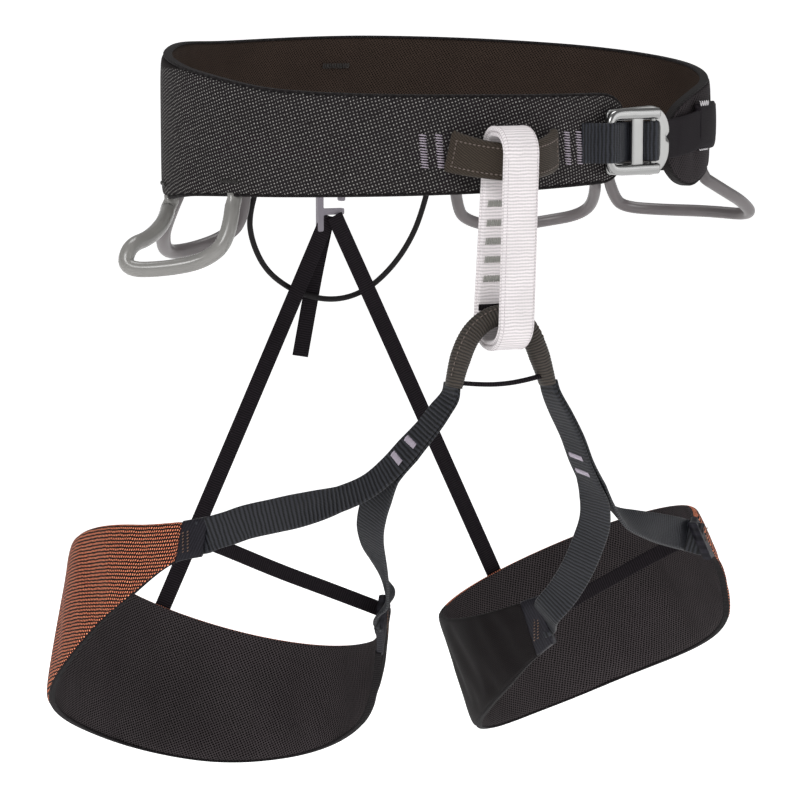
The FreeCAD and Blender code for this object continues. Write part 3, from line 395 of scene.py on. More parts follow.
def thread(name, colour):
    look = Look(name, roughness=0.55, sheen=0.1, specular=0.4)
    values = {"Vector": look.solid_place(), "Scale": 900.0}
    wave = look.node("ShaderNodeTexWave", values, wave_type="BANDS", bands_direction="DIAGONAL")
    twist = wave.outputs["Fac"]
    # The low bands of the twist are darker: painted shade between the plies.
    return look.done(look.mix(twist, shade(colour, 0.7), shade(colour)), twist, 0.3, 0.1)


def metal(name, colour, roughness, grain, spread):
    """Alloy with fine directional scratches and slightly worn patches."""
    look = Look(name, metallic=1.0)
    stretch = (grain, grain * 0.05, grain * 0.4)
    place = look.node("ShaderNodeMapping", {"Vector": look.solid_place(), "Scale": stretch}).outputs[0]
    scratches = look.noise(place, 6.0, 6.0)
    look.give(look.shader, {"Roughness": scratches * spread + (roughness - spread / 2)})
    wear = look.noise(look.solid_place(), 60.0)
    return look.done(look.mix(wear, shade(colour, 0.86), shade(colour)), scratches, 0.04, 0.05)


def moulded(name, colour, roughness, translucency):
    """Plastic with a fine grain, which lets light a little way in."""
    look = Look(name)
    broad = look.noise(look.solid_place(), 45.0)
    look.give(look.shader, {"Roughness": broad * 0.25 + (roughness - 0.12), "Subsurface Weight": translucency,
                            "Subsurface Radius": (0.004, 0.004, 0.004), "Subsurface Scale": 1.0})
    grain = look.noise(look.solid_place(), 2600.0, 2.0)
    return look.done(look.mix(broad, shade(colour, 0.78), shade(colour, 1.15)), grain, 0.15, 0.05)


def braid():
    """Braid of the haul cord, laid out by its place in space."""
    look = Look("haul_cord_braid", roughness=0.6, specular=0.15)
    values = {"Vector": look.solid_place(), "Scale": 1300.0}
    cell = look.node("ShaderNodeTexVoronoi", values).outputs["Distance"]
    colour = look.mix(cell, shade((0.012, 0.010, 0.011)), shade((0.004, 0.0035, 0.004)))
    return look.done(colour, cell, 0.5, 0.15)


MATERIALS = {
    "shell": shell_cloth(),
    "belt_mesh": mesh_cloth("belt_lining_mesh", (0.034, 0.023, 0.018), (0.0020, 0.0016, 0.0014), 1.4),
    "leg_mesh": mesh_cloth("leg_lining_mesh", (0.046, 0.039, 0.041), (0.002, 0.0016, 0.0016), 1.6,
                           open_share=(0.05, 0.4)),
    "honeycomb": mesh_cloth("belt_end_mesh", (0.030, 0.025, 0.027), (0.004, 0.0035, 0.004), 1.9, 45.0),
    "rim": plain_twill("rolled_edge", (0.0115, 0.0095, 0.0100), 1.1, 75.0, 0.8, 0.02, 0.3),
    "leg_rim": webbing("leg_rolled_edge", (0.007, 0.006, 0.0065), 1.5, 0.75, 0.4, 2.0, 0.3, 0.08),
    "two_tone": two_tone_cloth(),
    "leg_twill": plain_twill("leg_plain_twill", (0.0085, 0.0065, 0.0070), 1.0, 55.0, 0.8, 0.0, 0.15),
    "sleeve": plain_twill("tie_in_sleeve_cloth", (0.040, 0.030, 0.022), 1.15, 62.0, 0.62, 0.05, 0.35),
    "arch": webbing("arch_sleeve_cloth", (0.027, 0.021, 0.0165), 1.5, 0.6, 0.4, 1.7),
    "dark_webbing": webbing("dark_webbing_cloth", (0.0095, 0.0100, 0.0125), 2.1, 0.5, 0.4, 2.3, 0.15, 0.2),
    "buckle_webbing": webbing("buckle_webbing_cloth", (0.0090, 0.0098, 0.0130), 1.9, 0.5, 0.4, 2.3, 0.15, 0.2),
    "pale": webbing("belay_loop_cloth", (0.50, 0.47, 0.478), 1.6, 0.7, 0.25, 1.45, 0.98, 0.25),
    "elastic": webbing("black_elastic_cloth", (0.0085, 0.0068, 0.0084), 1.3, 0.75, 0.2, 1.8, 0.4, 0.06),
    "cord": plain_twill("braided_cord", (0.010, 0.008, 0.0085), 1.2, 35.0, 0.6, 0.03, 0.25),
    "haul": braid(),
    "tab": plain_twill("fused_tab_cloth", (0.014, 0.013, 0.018), 1.6, 20.0, 0.5, 0.0, 0.2),
    "grey_thread": thread("grey_bar_tack_thread", (0.36, 0.31, 0.37)),
    "green_thread": thread("belay_loop_thread", (0.30, 0.30, 0.275)),
    "dark_thread": thread("dark_thread", (0.010, 0.008, 0.007)),
    "brown_thread": thread("brown_thread", (0.16, 0.085, 0.05)),
    "pink_thread": thread("pink_thread", (0.15, 0.115, 0.10)),
    "loop_thread": thread("loop_edge_thread", (0.46, 0.41, 0.43)),
    "white_thread": thread("white_thread", (0.60, 0.58, 0.60)),
    "lilac_thread": thread("lilac_thread", (0.42, 0.37, 0.44)),
    "polished": metal("polished_alloy", (0.30, 0.30, 0.297), 0.2, 40.0, 0.06),
    "matte": metal("satin_alloy", (0.36, 0.36, 0.355), 0.36, 60.0, 0.14),
    # One grey plastic in two copies: the lighter one is painted light for the near front right gear loop, the
    # darker one painted shade for the loops further back.
    "painted_lit_tube": moulded("tube_plastic_painted_lit", (0.20, 0.195, 0.185), 0.22, 0.1),
    "tube_plastic_painted_shade": moulded("tube_plastic_painted_shade", (0.105, 0.093, 0.095), 0.35, 0.1),
    "hook": moulded("hook_plastic", (0.17, 0.155, 0.18), 0.4, 0.0)}


# ================ curves on the belt and legs
def smooth(table, t):
    """Cubic through (position, value) pairs, flat beyond both ends."""
    t = min(max(t, table[0][0]), table[-1][0])
    last = len(table) - 2
    i = next((k for k in range(last + 1) if t <= table[k + 1][0]), last)

    def slope(k):
        low = max(k - 1, 0)
        high = min(k + 1, last + 1)
        return (table[high][1] - table[low][1]) / (table[high][0] - table[low][0])

    step = table[i + 1][0] - table[i][0]
    u = (t - table[i][0]) / step
    rise = table[i + 1][1] - table[i][1]
    bend = (u**3 - 2 * u**2 + u) * slope(i) + (u**3 - u**2) * slope(i + 1)
    return table[i][1] + rise * (3 * u**2 - 2 * u**3) + step * bend


def side_measures(side):
    """Centre offset and radius of one side's long arcs, and the angle that each turns through."""
    half_width, hip = SIDES[side]
    offset = ((half_width - hip)**2 - (HALF_DEPTH - hip)**2) / (2 * (HALF_DEPTH - hip))
    return offset, HALF_DEPTH + offset, math.atan2(half_width - hip, offset)


def side_point(distance, side):
    """Plan point and normal at a distance from front centre along one side, x positive outwards."""
    half_width, hip = SIDES[side]
    offset, radius, turn = side_measures(side)
    long_arc = radius * turn
    hip_arc = hip * (math.pi - 2 * turn)
    if distance < long_arc:
        angle = distance / radius
        centre = (0.0, offset, radius)
    elif distance < long_arc + hip_arc:
        angle = turn + (distance - long_arc) / hip
        centre = (half_width - hip, 0.0, hip)
    else:
        angle = math.pi - turn + (distance - long_arc - hip_arc) / radius
        centre = (0.0, -offset, radius)
    normal = (math.sin(angle), -math.cos(angle))
    return (centre[0] + centre[2] * normal[0], centre[1] + centre[2] * normal[1]), normal


def side_length(side):
    radius, turn = side_measures(side)[1:]
    return 2 * radius * turn + SIDES[side][1] * (math.pi - 2 * turn)


RIGHT_LENGTH = side_length("right")
BELT_LENGTH = RIGHT_LENGTH + side_length("left")


def belt_normal(distance):
    """Plan point of the belt's inner face and its outward normal, at a distance round from front centre."""
    distance = distance % BELT_LENGTH
    if distance < RIGHT_LENGTH:
        (x, y), (nx, ny) = side_point(distance, "right")
        return Vector((-x, y, 0)), Vector((-nx, ny, 0))
    (x, y), (nx, ny) = side_point(BELT_LENGTH - distance, "left")
    return Vector((x, y, 0)), Vector((nx, ny, 0))


def on_belt(distance, out, z):
    point, normal = belt_normal(distance)
    return point + normal * out + Vector((0, 0, z))


def belt_edges(distance):
    """Heights of the belt's lower and upper edges, drawn together at its rounded ends."""
    low = smooth([(row[0], row[1]) for row in BELT_EDGES], distance)
    high = smooth([(row[0], row[2]) for row in BELT_EDGES], distance)
    depth = min(distance - PAD_START, PAD_END - distance, END_ROUND) / END_ROUND
    keep = END_KEEP + (1 - END_KEEP) * math.sqrt(max(0.0, 1 - (1 - depth)**2))
    middle = (low + high) / 2
    half = (high - low) / 2 * keep
    return middle - half, middle + half


def leg_point(leg, share, down, out):
    """Point of a leg loop: share along its sweep, down from its upper rim, out from its inner face."""
    angle = math.radians(leg["start"] + leg["sweep"] * share)
    cosine = math.cos(angle)
    sine = math.sin(angle)
    depth = down / SHADOW_DROP
    x, y, a, b = [t + (l - t) * depth for t, l in zip(leg["top"], leg["low"])]
    normal = Vector((cosine / a, sine / b, 0)).normalized()
    z = leg["level"] + leg["rise_x"] * cosine + leg["rise_y"] * sine + smooth(leg["lifts"], share) - down
    return Vector((x + a * cosine, y + b * sine, z)) + normal * out


# ================ mesh building
def add_piece(name, shape, materials, body, replaced=(), chosen=None):
    """A mesh piece from its shape: points in millimetres, faces, and each face corner's place in the weave."""
    points, faces, corners = shape
    mesh = bpy.data.meshes.new(name)
    mesh.from_pydata([tuple(p * MM) for p in points], [], faces)
    weave = mesh.uv_layers.new(name="weave")
    weave.data.foreach_set("uv", [c for corner in corners for c in corner])
    for material in materials:
        mesh.materials.append(MATERIALS[material])
    if chosen:
        mesh.polygons.foreach_set("material_index", chosen)
    work = bmesh.new()
    work.from_mesh(mesh)
    bmesh.ops.recalc_face_normals(work, faces=work.faces)
    work.to_mesh(mesh)
    work.free()
    mesh.polygons.foreach_set("use_smooth", [True] * len(mesh.polygons))
    piece = bpy.data.objects.new(name, mesh)
    bpy.context.scene.collection.objects.link(piece)
    if body:
        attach(piece, body)
    if replaced:
        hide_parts(*replaced)
    return piece


def loft(rings, stations, across, closed=False):
    """Quads between successive rings. across has one value more than a ring has points, or is a list of such."""
    if not isinstance(across[0], (list, tuple)):
        across = [across] * (len(rings) + 1)
    points = [p for ring in rings for p in ring]
    size = len(rings[0])
    faces = []
    corners = []
    for i in range(len(rings) if closed else len(rings) - 1):
        j = (i + 1) % len(rings)
        for k in range(size):
            m = (k + 1) % size
            faces.append((i * size + k, i * size + m, j * size + m, j * size + k))
            corners += [(stations[i], across[i][k]), (stations[i], across[i][k + 1]),
                        (stations[i + 1], across[j][k + 1]), (stations[i + 1], across[j][k])]
    if not closed:
        last = (len(rings) - 1) * size
        faces.append(tuple(range(size)))
        corners += [(stations[0], across[0][k]) for k in range(size)]
        faces.append(tuple(range(last, last + size)))
        corners += [(stations[-1], across[-1][k]) for k in range(size)]
    return points, faces, corners


def spread(rows, spacing, closed=False):
    """Even points on a smooth line through the rows; each row is (point, side), and sides are blended too."""
    places = [Vector(p) for p, s in rows]
    sides = [Vector(s) for p, s in rows]
    count = len(places)
    result = []
    spans = count if closed else count - 1
    for i in range(spans):
        p1, p2 = places[i], places[(i + 1) % count]
        p0 = places[i - 1] if closed or i else p1 * 2 - p2
        p3 = places[(i + 2) % count] if closed or i + 2 < count else p2 * 2 - p1
        length = (p2 - p1).length
        m1 = (p2 - p0) * (length / max((p2 - p1).length + (p1 - p0).length, 1e-6))
        m2 = (p3 - p1) * (length / max((p3 - p2).length + (p2 - p1).length, 1e-6))
        steps = max(1, round(length / spacing))
        for k in range(steps):
            t = k / steps
            place = (p1 * (2 * t**3 - 3 * t**2 + 1) + m1 * (t**3 - 2 * t**2 + t)
                     + p2 * (3 * t**2 - 2 * t**3) + m2 * (t**3 - t**2))
            result.append((place, sides[i].lerp(sides[(i + 1) % count], t)))
    if not closed:
        result.append((places[-1], sides[-1]))
    return result


def frames(line, closed=False):
    """(place, along, across, outward) at each point of a line of (place, side)."""
    result = []
    count = len(line)
    for i, (place, side) in enumerate(line):
        before = line[i - 1][0] if closed or i else place
        after = line[(i + 1) % count][0] if closed or i + 1 < count else place
        along = (after - before).normalized()
        across = (side - along * side.dot(along)).normalized()
        result.append((place, along, across, along.cross(across).normalized()))
    return result


def distances(places, closed=False):
    """Distance along a row of points at each of them, and once round if it is closed."""
    total = [0.0]
    for a, b in zip(places, places[1:] + (places[:1] if closed else [])):
        total.append(total[-1] + (b - a).length)
    return total


def strap_profile(width, thickness, steps):
    """(across, out, is a flat face) round a strap's rounded section."""
    half = width / 2 - thickness / 2
    flat = [(-half + 2 * half * k / steps) for k in range(steps + 1)]
    rim = [(thickness / 2 * math.sin(t), thickness / 2 * math.cos(t)) for t in (0.55, 1.1, 1.57, 2.04, 2.6)]
    section = [(a, thickness / 2, 1.0) for a in flat]
    section += [(half + a, b, 0.0) for a, b in rim]
    section += [(a, -thickness / 2, 1.0) for a in reversed(flat)]
    section += [(-half - a, -b, 0.0) for a, b in rim]
    return section


def ribbon(name, rows, width, thickness, material, body, replaced=(), spacing=1.2, closed=False,
           rib=None, taper=None, steps=8):
    """Flat strap along rows of (point, side). rib is (pitch, height); taper(share of length) scales width."""
    line = spread(rows, spacing, closed)
    total = distances([place for place, side in line], closed)
    rings = []
    profile = strap_profile(width, thickness, steps)
    for i, (place, along, across, outward) in enumerate(frames(line, closed)):
        scale = taper(total[i] / total[-1]) if taper else 1.0
        lift = 0.0
        if rib:
            lift = rib[1] * math.cos(2 * math.pi * total[i] / rib[0])
        rings.append([place + across * (a * scale) + outward * (b + math.copysign(lift * flat, b))
                      for a, b, flat in profile])
    values = [a for a, b, flat in profile]
    shape = loft(rings, total + [total[-1]], values + values[:1], closed)
    return add_piece(name, shape, [material], body, replaced)


def tube_rings(line, radius, sides, section):
    """Rings of a tube; section(distance, whole length) gives its two half widths."""
    total = distances([place for place, side in line])
    rings = []
    for i, (place, along, across, outward) in enumerate(frames(line)):
        a, b = section(total[i], total[-1])
        rings.append([place + across * (a * math.cos(2 * math.pi * k / sides))
                      + outward * (b * math.sin(2 * math.pi * k / sides)) for k in range(sides)])
    around = [2 * math.pi * radius * k / sides for k in range(sides + 1)]
    return rings, total, around


def sunk_line(points, spacing):
    """Quadratic line that passes inside the corners of its points, as a tube through them does."""
    places = [Vector(p) for p in points]
    knots = [places[0]] + [(a + b) / 2 for a, b in zip(places[1:-2], places[2:-1])] + [places[-1]]
    result = []
    for start, corner, end in zip(knots, places[1:-1], knots[1:]):
        steps = max(3, round((end - start).length / spacing))
        for k in range(steps):
            t = k / steps
            result.append(start * (1 - t)**2 + corner * (2 * t * (1 - t)) + end * t**2)
    result.append(places[-1])
    return result


def stitches(name, segments, radius, material, body, *replaced):
    """Each segment (start, end, outward) becomes a short thread that rises out of the cloth and dives back."""
    points = []
    faces = []
    corners = []
    steps = ((0.0, 0.3, -0.9), (0.15, 0.85, 0.1), (0.5, 1.0, 0.5), (0.85, 0.85, 0.1), (1.0, 0.3, -0.9))
    for start, end, outward in segments:
        along = (end - start).normalized()
        across = along.cross(outward).normalized()
        first = len(points)
        for share, thick, rise in steps:
            place = start.lerp(end, share) + outward * (rise * radius)
            for k in range(6):
                angle = math.pi * k / 3
                spoke = across * math.cos(angle) + outward * math.sin(angle)
                points.append(place + spoke * (radius * thick))
        for i in range(len(steps) - 1):
            for k in range(6):
                low = first + 6 * i
                m = (k + 1) % 6
                faces.append((low + k, low + m, low + 6 + m, low + 6 + k))
                corners += [(0, 0), (0, 1), (1, 1), (1, 0)]
        faces.append(tuple(first + k for k in range(6)))
        faces.append(tuple(first + 6 * (len(steps) - 1) + k for k in range(6)))
        corners += [(0, 0)] * 12
    add_piece(name, (points, faces, corners), [material], body, replaced)


def tack(centre, along, across, outward, length, width, pitch):
    """Zigzag of a bar tack, length long and width wide."""
    segments = []
    count = round(length / pitch)
    for k in range(count):
        low = centre + along * (-length / 2 + k * pitch) - across * (width / 2)
        high = centre + along * (-length / 2 + (k + 0.55) * pitch) + across * (width / 2)
        jitter = along * random.uniform(-0.12, 0.12)
        segments.append((low + jitter, high + jitter, outward))
    return segments


def running_stitch(path, outwards, length, gap):
    """Dashes along a polyline that already has its points close together."""
    total = distances(path)

    def at(distance):
        i = next((k for k in range(len(total) - 1) if total[k + 1] >= distance), len(total) - 2)
        share = (distance - total[i]) / max(total[i + 1] - total[i], 1e-6)
        return path[i].lerp(path[i + 1], share), outwards[i]

    segments = []
    place = gap
    while place + length < total[-1]:
        start, outward = at(place)
        end, outward = at(place + length)
        segments.append((start, end, outward))
        place += length + gap
    return segments


CLOTH = dict(quality=5, tension_stiffness=30, compression_stiffness=30, shear_stiffness=10, bending_stiffness=2,
             use_pressure=True, uniform_pressure_force=5, shrink_min=-0.015)


def inflate(piece, held, cap):
    """Cloth simulation that swells a padded piece between its held points; none moves further than cap."""
    rest = [v.co.copy() for v in piece.data.vertices]
    group = piece.vertex_groups.new(name="seams")
    group.add(held, 1.0, "REPLACE")
    cloth = piece.modifiers.new("Cloth", "CLOTH")
    for key, value in CLOTH.items():
        setattr(cloth.settings, key, value)
    cloth.settings.vertex_group_mass = group.name
    cloth.settings.effector_weights.gravity = 0.0
    cloth.collision_settings.use_collision = False
    cloth.point_cache.frame_start = 1
    cloth.point_cache.frame_end = CLOTH_FRAMES
    scene = bpy.context.scene
    for frame_number in range(1, CLOTH_FRAMES + 1):
        scene.frame_set(frame_number)
    solved = piece.evaluated_get(bpy.context.evaluated_depsgraph_get()).to_mesh()
    moved = [v.co.copy() for v in solved.vertices]
    piece.modifiers.remove(cloth)
    piece.vertex_groups.remove(group)
    scene.frame_set(1)
    for vertex, before, after in zip(piece.data.vertices, rest, moved):
        shift = after - before
        reach = shift.length / MM
        if reach > 1e-6:
            shift *= cap * math.tanh(reach / cap) / reach
        vertex.co = before + shift


def refine(piece):
    """One level of subdivision, applied."""
    modifier = piece.modifiers.new("Subdivision", "SUBSURF")
    modifier.levels = 1
    modifier.render_levels = 1
    modifier.uv_smooth = "PRESERVE_BOUNDARIES"
    evaluated = piece.evaluated_get(bpy.context.evaluated_depsgraph_get())
    mesh = bpy.data.meshes.new_from_object(evaluated)
    piece.modifiers.remove(modifier)
    piece.data = mesh


def stand_in(piece, body, replaced):
    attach(piece, body)
    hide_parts(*replaced)


# ================ padded pieces
def pad_section(steps):
    """(share of height, share of thickness) round a padded section, from the outer face's foot."""
    section = [(0.03 + 0.94 * k / steps, 1.0) for k in range(steps + 1)]
    section += [(0.985, 0.9), (1.0, 0.62), (1.0, 0.38), (0.985, 0.1)]
    section += [(0.97 - 0.94 * k / steps, 0.0) for k in range(steps + 1)]
    return section + [(0.015, 0.1), (0.0, 0.38), (0.0, 0.62), (0.015, 0.9)]


def padded_band(name, stations, place, height, thickness, materials, choose, cap):
    """Stuffed band between its edges.

    place(station, share of height, out) gives its points, height(station) the levels of its two edges and
    choose(station, is outer face) the index of a face's material. cap is how far the stuffing may push.
    """
    steps = 12
    section = pad_section(steps)
    size = len(section)
    rings = []
    across = []
    for station in stations:
        rings.append([place(station, share, 0.55 + out * (thickness - 1.1)) for share, out in section])
        low, high = height(station)
        levels = [low + (high - low) * share for share, out in section]
        across.append(levels + levels[:1])
    chosen = []
    for i in range(len(rings) - 1):
        for k in range(size):
            chosen.append(choose(stations[i], k < steps + 3 or k >= size - 2))
    chosen += [0, 0]
    shape = loft(rings, distances([ring[steps // 2] for ring in rings]), across)
    piece = add_piece(name, shape, materials, None, chosen=chosen)
    rim = [k for k, (share, out) in enumerate(section) if 0.05 < out < 0.95]
    held = [i * size + k for i in range(len(rings)) for k in rim]
    held += [i * size + k for i in (0, 1, len(rings) - 2, len(rings) - 1) for k in range(size)]
    inflate(piece, held, cap)
    refine(piece)
    return piece


def even(start, end, step):
    count = round((end - start) / step)
    return [start + (end - start) * k / count for k in range(count + 1)]


def wrinkle(distance, share):
    """Soft folds of the belt's cloth that fan out from the buckle end."""
    near = math.exp(-((distance + 42) / 32)**2)
    fold = math.sin(11 * share + 0.055 * distance) * 0.7 + math.sin(23 * share - 0.09 * distance + 1.3) * 0.35
    return 0.75 * near * fold


def belt_pad():
    def place(distance, share, out):
        low, high = belt_edges(distance)
        lean = wrinkle(distance, share) if out > 3 else 0.0
        return on_belt(distance, out + lean, low + (high - low) * share)

    def choose(distance, outer):
        if not outer:
            return 1
        return 2 if distance > MESH_END else 0

    ends = [0.0, 1.2, 3.5, 7.0, 11.5, 16.0]
    stations = [PAD_START + d for d in ends] + even(PAD_START + 20.5, PAD_END - 20.5, 4.6)
    stations += [PAD_END - d for d in reversed(ends)]
    materials = ["shell", "belt_mesh", "honeycomb"]
    piece = padded_band("belt_pad", stations, place, belt_edges, BELT_OUT, materials, choose, 1.6)
    stand_in(piece, "waist_belt",
             ("belt_outer_shell", "belt_inner_liner", "belt_foam_core", "belt_structural_webbing"))
    for edge, node in ((0, "belt_lower_binding"), (1, "belt_upper_binding")):
        rows = []
        for distance in stations:
            z = belt_edges(distance)[edge] + (0.1 if edge else -0.1)
            rows.append((on_belt(distance, BELT_OUT / 2, z), belt_normal(distance)[1]))
        ribbon(node + "_tape", rows, 4.6, 1.3, "rim", "waist_belt", (node,), 3.0)


def leg_pad(leg):
    side = leg["side"]
    body = side + "_leg"

    def place(share, level, out):
        return leg_point(leg, share, smooth(leg["widths"], share) * (1 - level), out)

    def height(share):
        return -smooth(leg["widths"], share), 0.0

    def choose(share, outer):
        if not outer:
            return 1
        return 0 if share < LEG_COLOUR_END[side] else 2

    materials = ["two_tone", "leg_mesh", "leg_twill"]
    stations = even(*PAD_SHARE[side], 0.0105)
    piece = padded_band(body + "_pad", stations, place, height, LEG_OUT, materials, choose, 1.4)
    stand_in(piece, body, [body + part for part in ("_outer", "_foam", "_liner")])
    rows = []
    for share in stations:
        width = smooth(leg["widths"], share)
        normal = leg_point(leg, share, width, 2) - leg_point(leg, share, width, 1)
        rows.append((leg_point(leg, share, width - 0.6, 1.9), normal + Vector((0, 0, -0.2))))
    ribbon(body + "_lower_rim", rows, 3.4, 1.6, "leg_rim", body, (), 2.0)


def leg_tab(leg, first):
    """Stiff fused end of a leg pad with its folded border and its bar of stitching."""
    body = leg["side"] + "_leg"
    pad_start, pad_end = PAD_SHARE[leg["side"]]
    start, end = (pad_start - 0.03, pad_start + 0.003) if first else (pad_end - 0.003, 1.004)
    node = body + ("_lateral_tab" if first else "_medial_tab")
    section = pad_section(5)
    stations = even(start, end, (end - start) / 10)
    rings = []
    for share in stations:
        width = smooth(leg["widths"], share) + 0.8
        fold = 0.55 if abs(share - (start if first else end)) < 0.011 else 0.0
        inner = 0.9 - fold
        rings.append([leg_point(leg, share, width * (1 - level) - 0.4, inner + out * (LEG_OUT - 2 * inner))
                      for level, out in section])
    levels = [20.0 * level for level, out in section]
    shape = loft(rings, distances([ring[2] for ring in rings]), levels + levels[:1])
    add_piece(node + "_cloth", shape, ["tab"], body, (node,))
    segments = []
    for share in ((end - 0.012, end - 0.006) if first else (start + 0.012, start + 0.018)):
        middle = smooth(leg["widths"], share) / 2
        for out, way in ((LEG_OUT - 0.3, 1), (0.2, -1)):
            place = leg_point(leg, share, middle, out)
            outward = (leg_point(leg, share, 5, 2) - leg_point(leg, share, 5, 1)).normalized() * way
            segments += tack(place, UP, UP.cross(outward).normalized(), outward, middle * 1.2, 0.9, 1.6)
    stitches(node + "_stitching", segments, 0.26, "brown_thread", body)


# ================ front
def tie_in_bow(share):
    """How far the tie-in stands off the belt, from 0 at its ends to 1 in the middle."""
    return math.cos(share * math.pi / 2)**0.8


def tie_in_centre(share):
    x = TIE_IN_HALF_SPAN * share + TIE_IN_X
    base = on_belt(-x, BELT_OUT, 0).y
    bow = tie_in_bow(share)
    return Vector((x, base - 3.3 - TIE_IN_BOW * bow, TIE_IN_Z - TIE_IN_SAG * bow))


def upper_tie_in():
    shares = [-1.0, -0.93, -0.8, -0.6, -0.3, 0.0, 0.3, 0.6, 0.8, 0.93, 1.0]
    rows = [(tie_in_centre(s), UP) for s in shares]

    def gather(share):
        return 1 - TIE_IN_GATHER * tie_in_bow(2 * share - 1)

    ribbon("upper_tie_in_sleeve_cloth", rows, SLEEVE_HEIGHT, SLEEVE_DEPTH, "sleeve", "waist_belt",
           ("upper_tie_in_sleeve", "upper_tie_in_webbing"), 0.8, taper=gather, steps=14)
    line = spread(rows, 0.8)
    segments = []
    marks = frames(line)
    for height in (-6.3, 6.3):
        path = []
        outwards = []
        for place, along, across, outward in marks[3:-3]:
            front = outward if outward.y < 0 else -outward
            path.append(place + across * height + front * (SLEEVE_DEPTH / 2 + 0.05))
            outwards.append(front)
        segments += running_stitch(path, outwards, 1.5, 0.8)
    for index in (5, -6):
        place, along, across, outward = marks[index]
        front = outward if outward.y < 0 else -outward
        path = [place + across * z + front * (SLEEVE_DEPTH / 2 + 0.05) for z in even(-6.0, 6.0, 1.0)]
        segments += running_stitch(path, [front] * len(path), 1.5, 0.8)
    stitches("upper_tie_in_stitching", segments, 0.3, "pink_thread", "waist_belt")


def front_tacks():
    segments = []
    for x in FRONT_BAR_TACKS:
        normal = belt_normal(-x)[1]
        up = UP + normal.cross(UP) * 0.08
        centre = on_belt(-x, BELT_OUT + 1.15, TIE_IN_Z)
        segments += tack(centre, up.normalized(), normal.cross(up).normalized(), normal, 16.5, 3.8, 1.3)
    stitches("front_bar_tack_thread", segments, 0.36, "grey_thread", "waist_belt", "front_bar_tacks")


def in_buckle(along, up, out):
    return BUCKLE_CENTRE + Vector((along * math.cos(BUCKLE_TURN) + out * math.sin(BUCKLE_TURN),
                                   along * math.sin(BUCKLE_TURN) - out * math.cos(BUCKLE_TURN), up))


def buckle_rails():
    """Polished slider: two thick rounded rails joined round the left end, and a flat satin bar and a pin."""
    way = Vector((math.cos(BUCKLE_TURN), math.sin(BUCKLE_TURN), 0))
    route = [(11.4, 13.8, 0, 1), (0.0, 13.8, 0, 1), (-14.0, 13.8, 0, 1), (-18.6, 12.8, -0.5, 1),
             (-20.7, 9.8, -1, 0.4), (-21.0, 5.0, -1, 0), (-21.0, 0.0, -1, 0)]
    route += [(a, -b, c, -d) for a, b, c, d in reversed(route[:-1])]
    rows = [(in_buckle(a, b, 2.4), way * c + UP * d) for a, b, c, d in route]

    def slim(share):
        return 1 - 0.35 * math.exp(-((share - 0.5) / 0.14)**2)

    ribbon("buckle_slider_rails", rows, 5.6, 4.0, "polished", "buckle", ("buckle_slider",), 0.5,
           taper=slim, steps=6)
    rows = [(in_buckle(-2.75, z, 2.5), way) for z in (-13.0, 0.0, 13.0)]
    ribbon("buckle_slider_bar", rows, 7.5, 1.8, "matte", "buckle", (), 2.0, steps=4)
    rows = [(in_buckle(RIGHT_PIN_ALONG, z, 1.6), way) for z in (-13.0, 0.0, 13.0)]
    ribbon("buckle_slider_pin", rows, 3.0, 2.9, "matte", "buckle", (), 2.0, steps=2)


def buckle_straps():
    wrap = 1.8 + 0.35 + STRAP_THICKNESS / 2
    level = BUCKLE_CENTRE.z
    points = [on_belt(-39.5, BELT_OUT + 1.1, level), on_belt(-44.0, BELT_OUT + 2.4, level),
              in_buckle(PIN_ALONG - 5.0, 0, PIN_OUT + wrap + 0.1), in_buckle(PIN_ALONG, 0, PIN_OUT + wrap)]
    points += [in_buckle(PIN_ALONG + a, 0, b) for a, b in ((4.0, 3.4), (7.5, 1.2), (11.0, -0.6), (15.0, -1.2))]
    ribbon("buckle_anchor_strap", [(p, UP) for p in points], STRAP_WIDTH, STRAP_THICKNESS,
           "buckle_webbing", "waist_belt", ("buckle_anchor_webbing",), 0.3,
           rib=BUCKLE_RIB, steps=16)
    pin = RIGHT_PIN_ALONG
    route = [(pin - 5.2, -1.4), (pin - 3.7, 1.2), (pin, 4.2), (pin + 3.5, 1.6), (pin + 4.5, -1.0),
             (pin + 6.4, -3.9), (BUCKLE_LENGTH / 2 - 3.0, -4.4), (BUCKLE_LENGTH / 2 + 1.0, -4.5)]
    rows = [(in_buckle(a, 0, b), UP) for a, b in route]
    ribbon("buckle_threaded_strap", rows, STRAP_WIDTH, STRAP_THICKNESS, "buckle_webbing", "buckle",
           ("buckle_strap_turn",), 0.3, rib=BUCKLE_RIB, steps=16)
    buckle_rails()
    rows = []
    for distance in STRAP_STATIONS:
        out = BELT_OUT + 0.9 + smooth(STRAP_LIFTS, distance)
        rows.append((on_belt(distance, out, smooth(STRAP_HEIGHTS, distance)), UP))
    ribbon("adjust_strap_webbing", rows, STRAP_WIDTH, STRAP_THICKNESS, "elastic", "waist_belt",
           ("adjust_strap",), 0.8, steps=12)


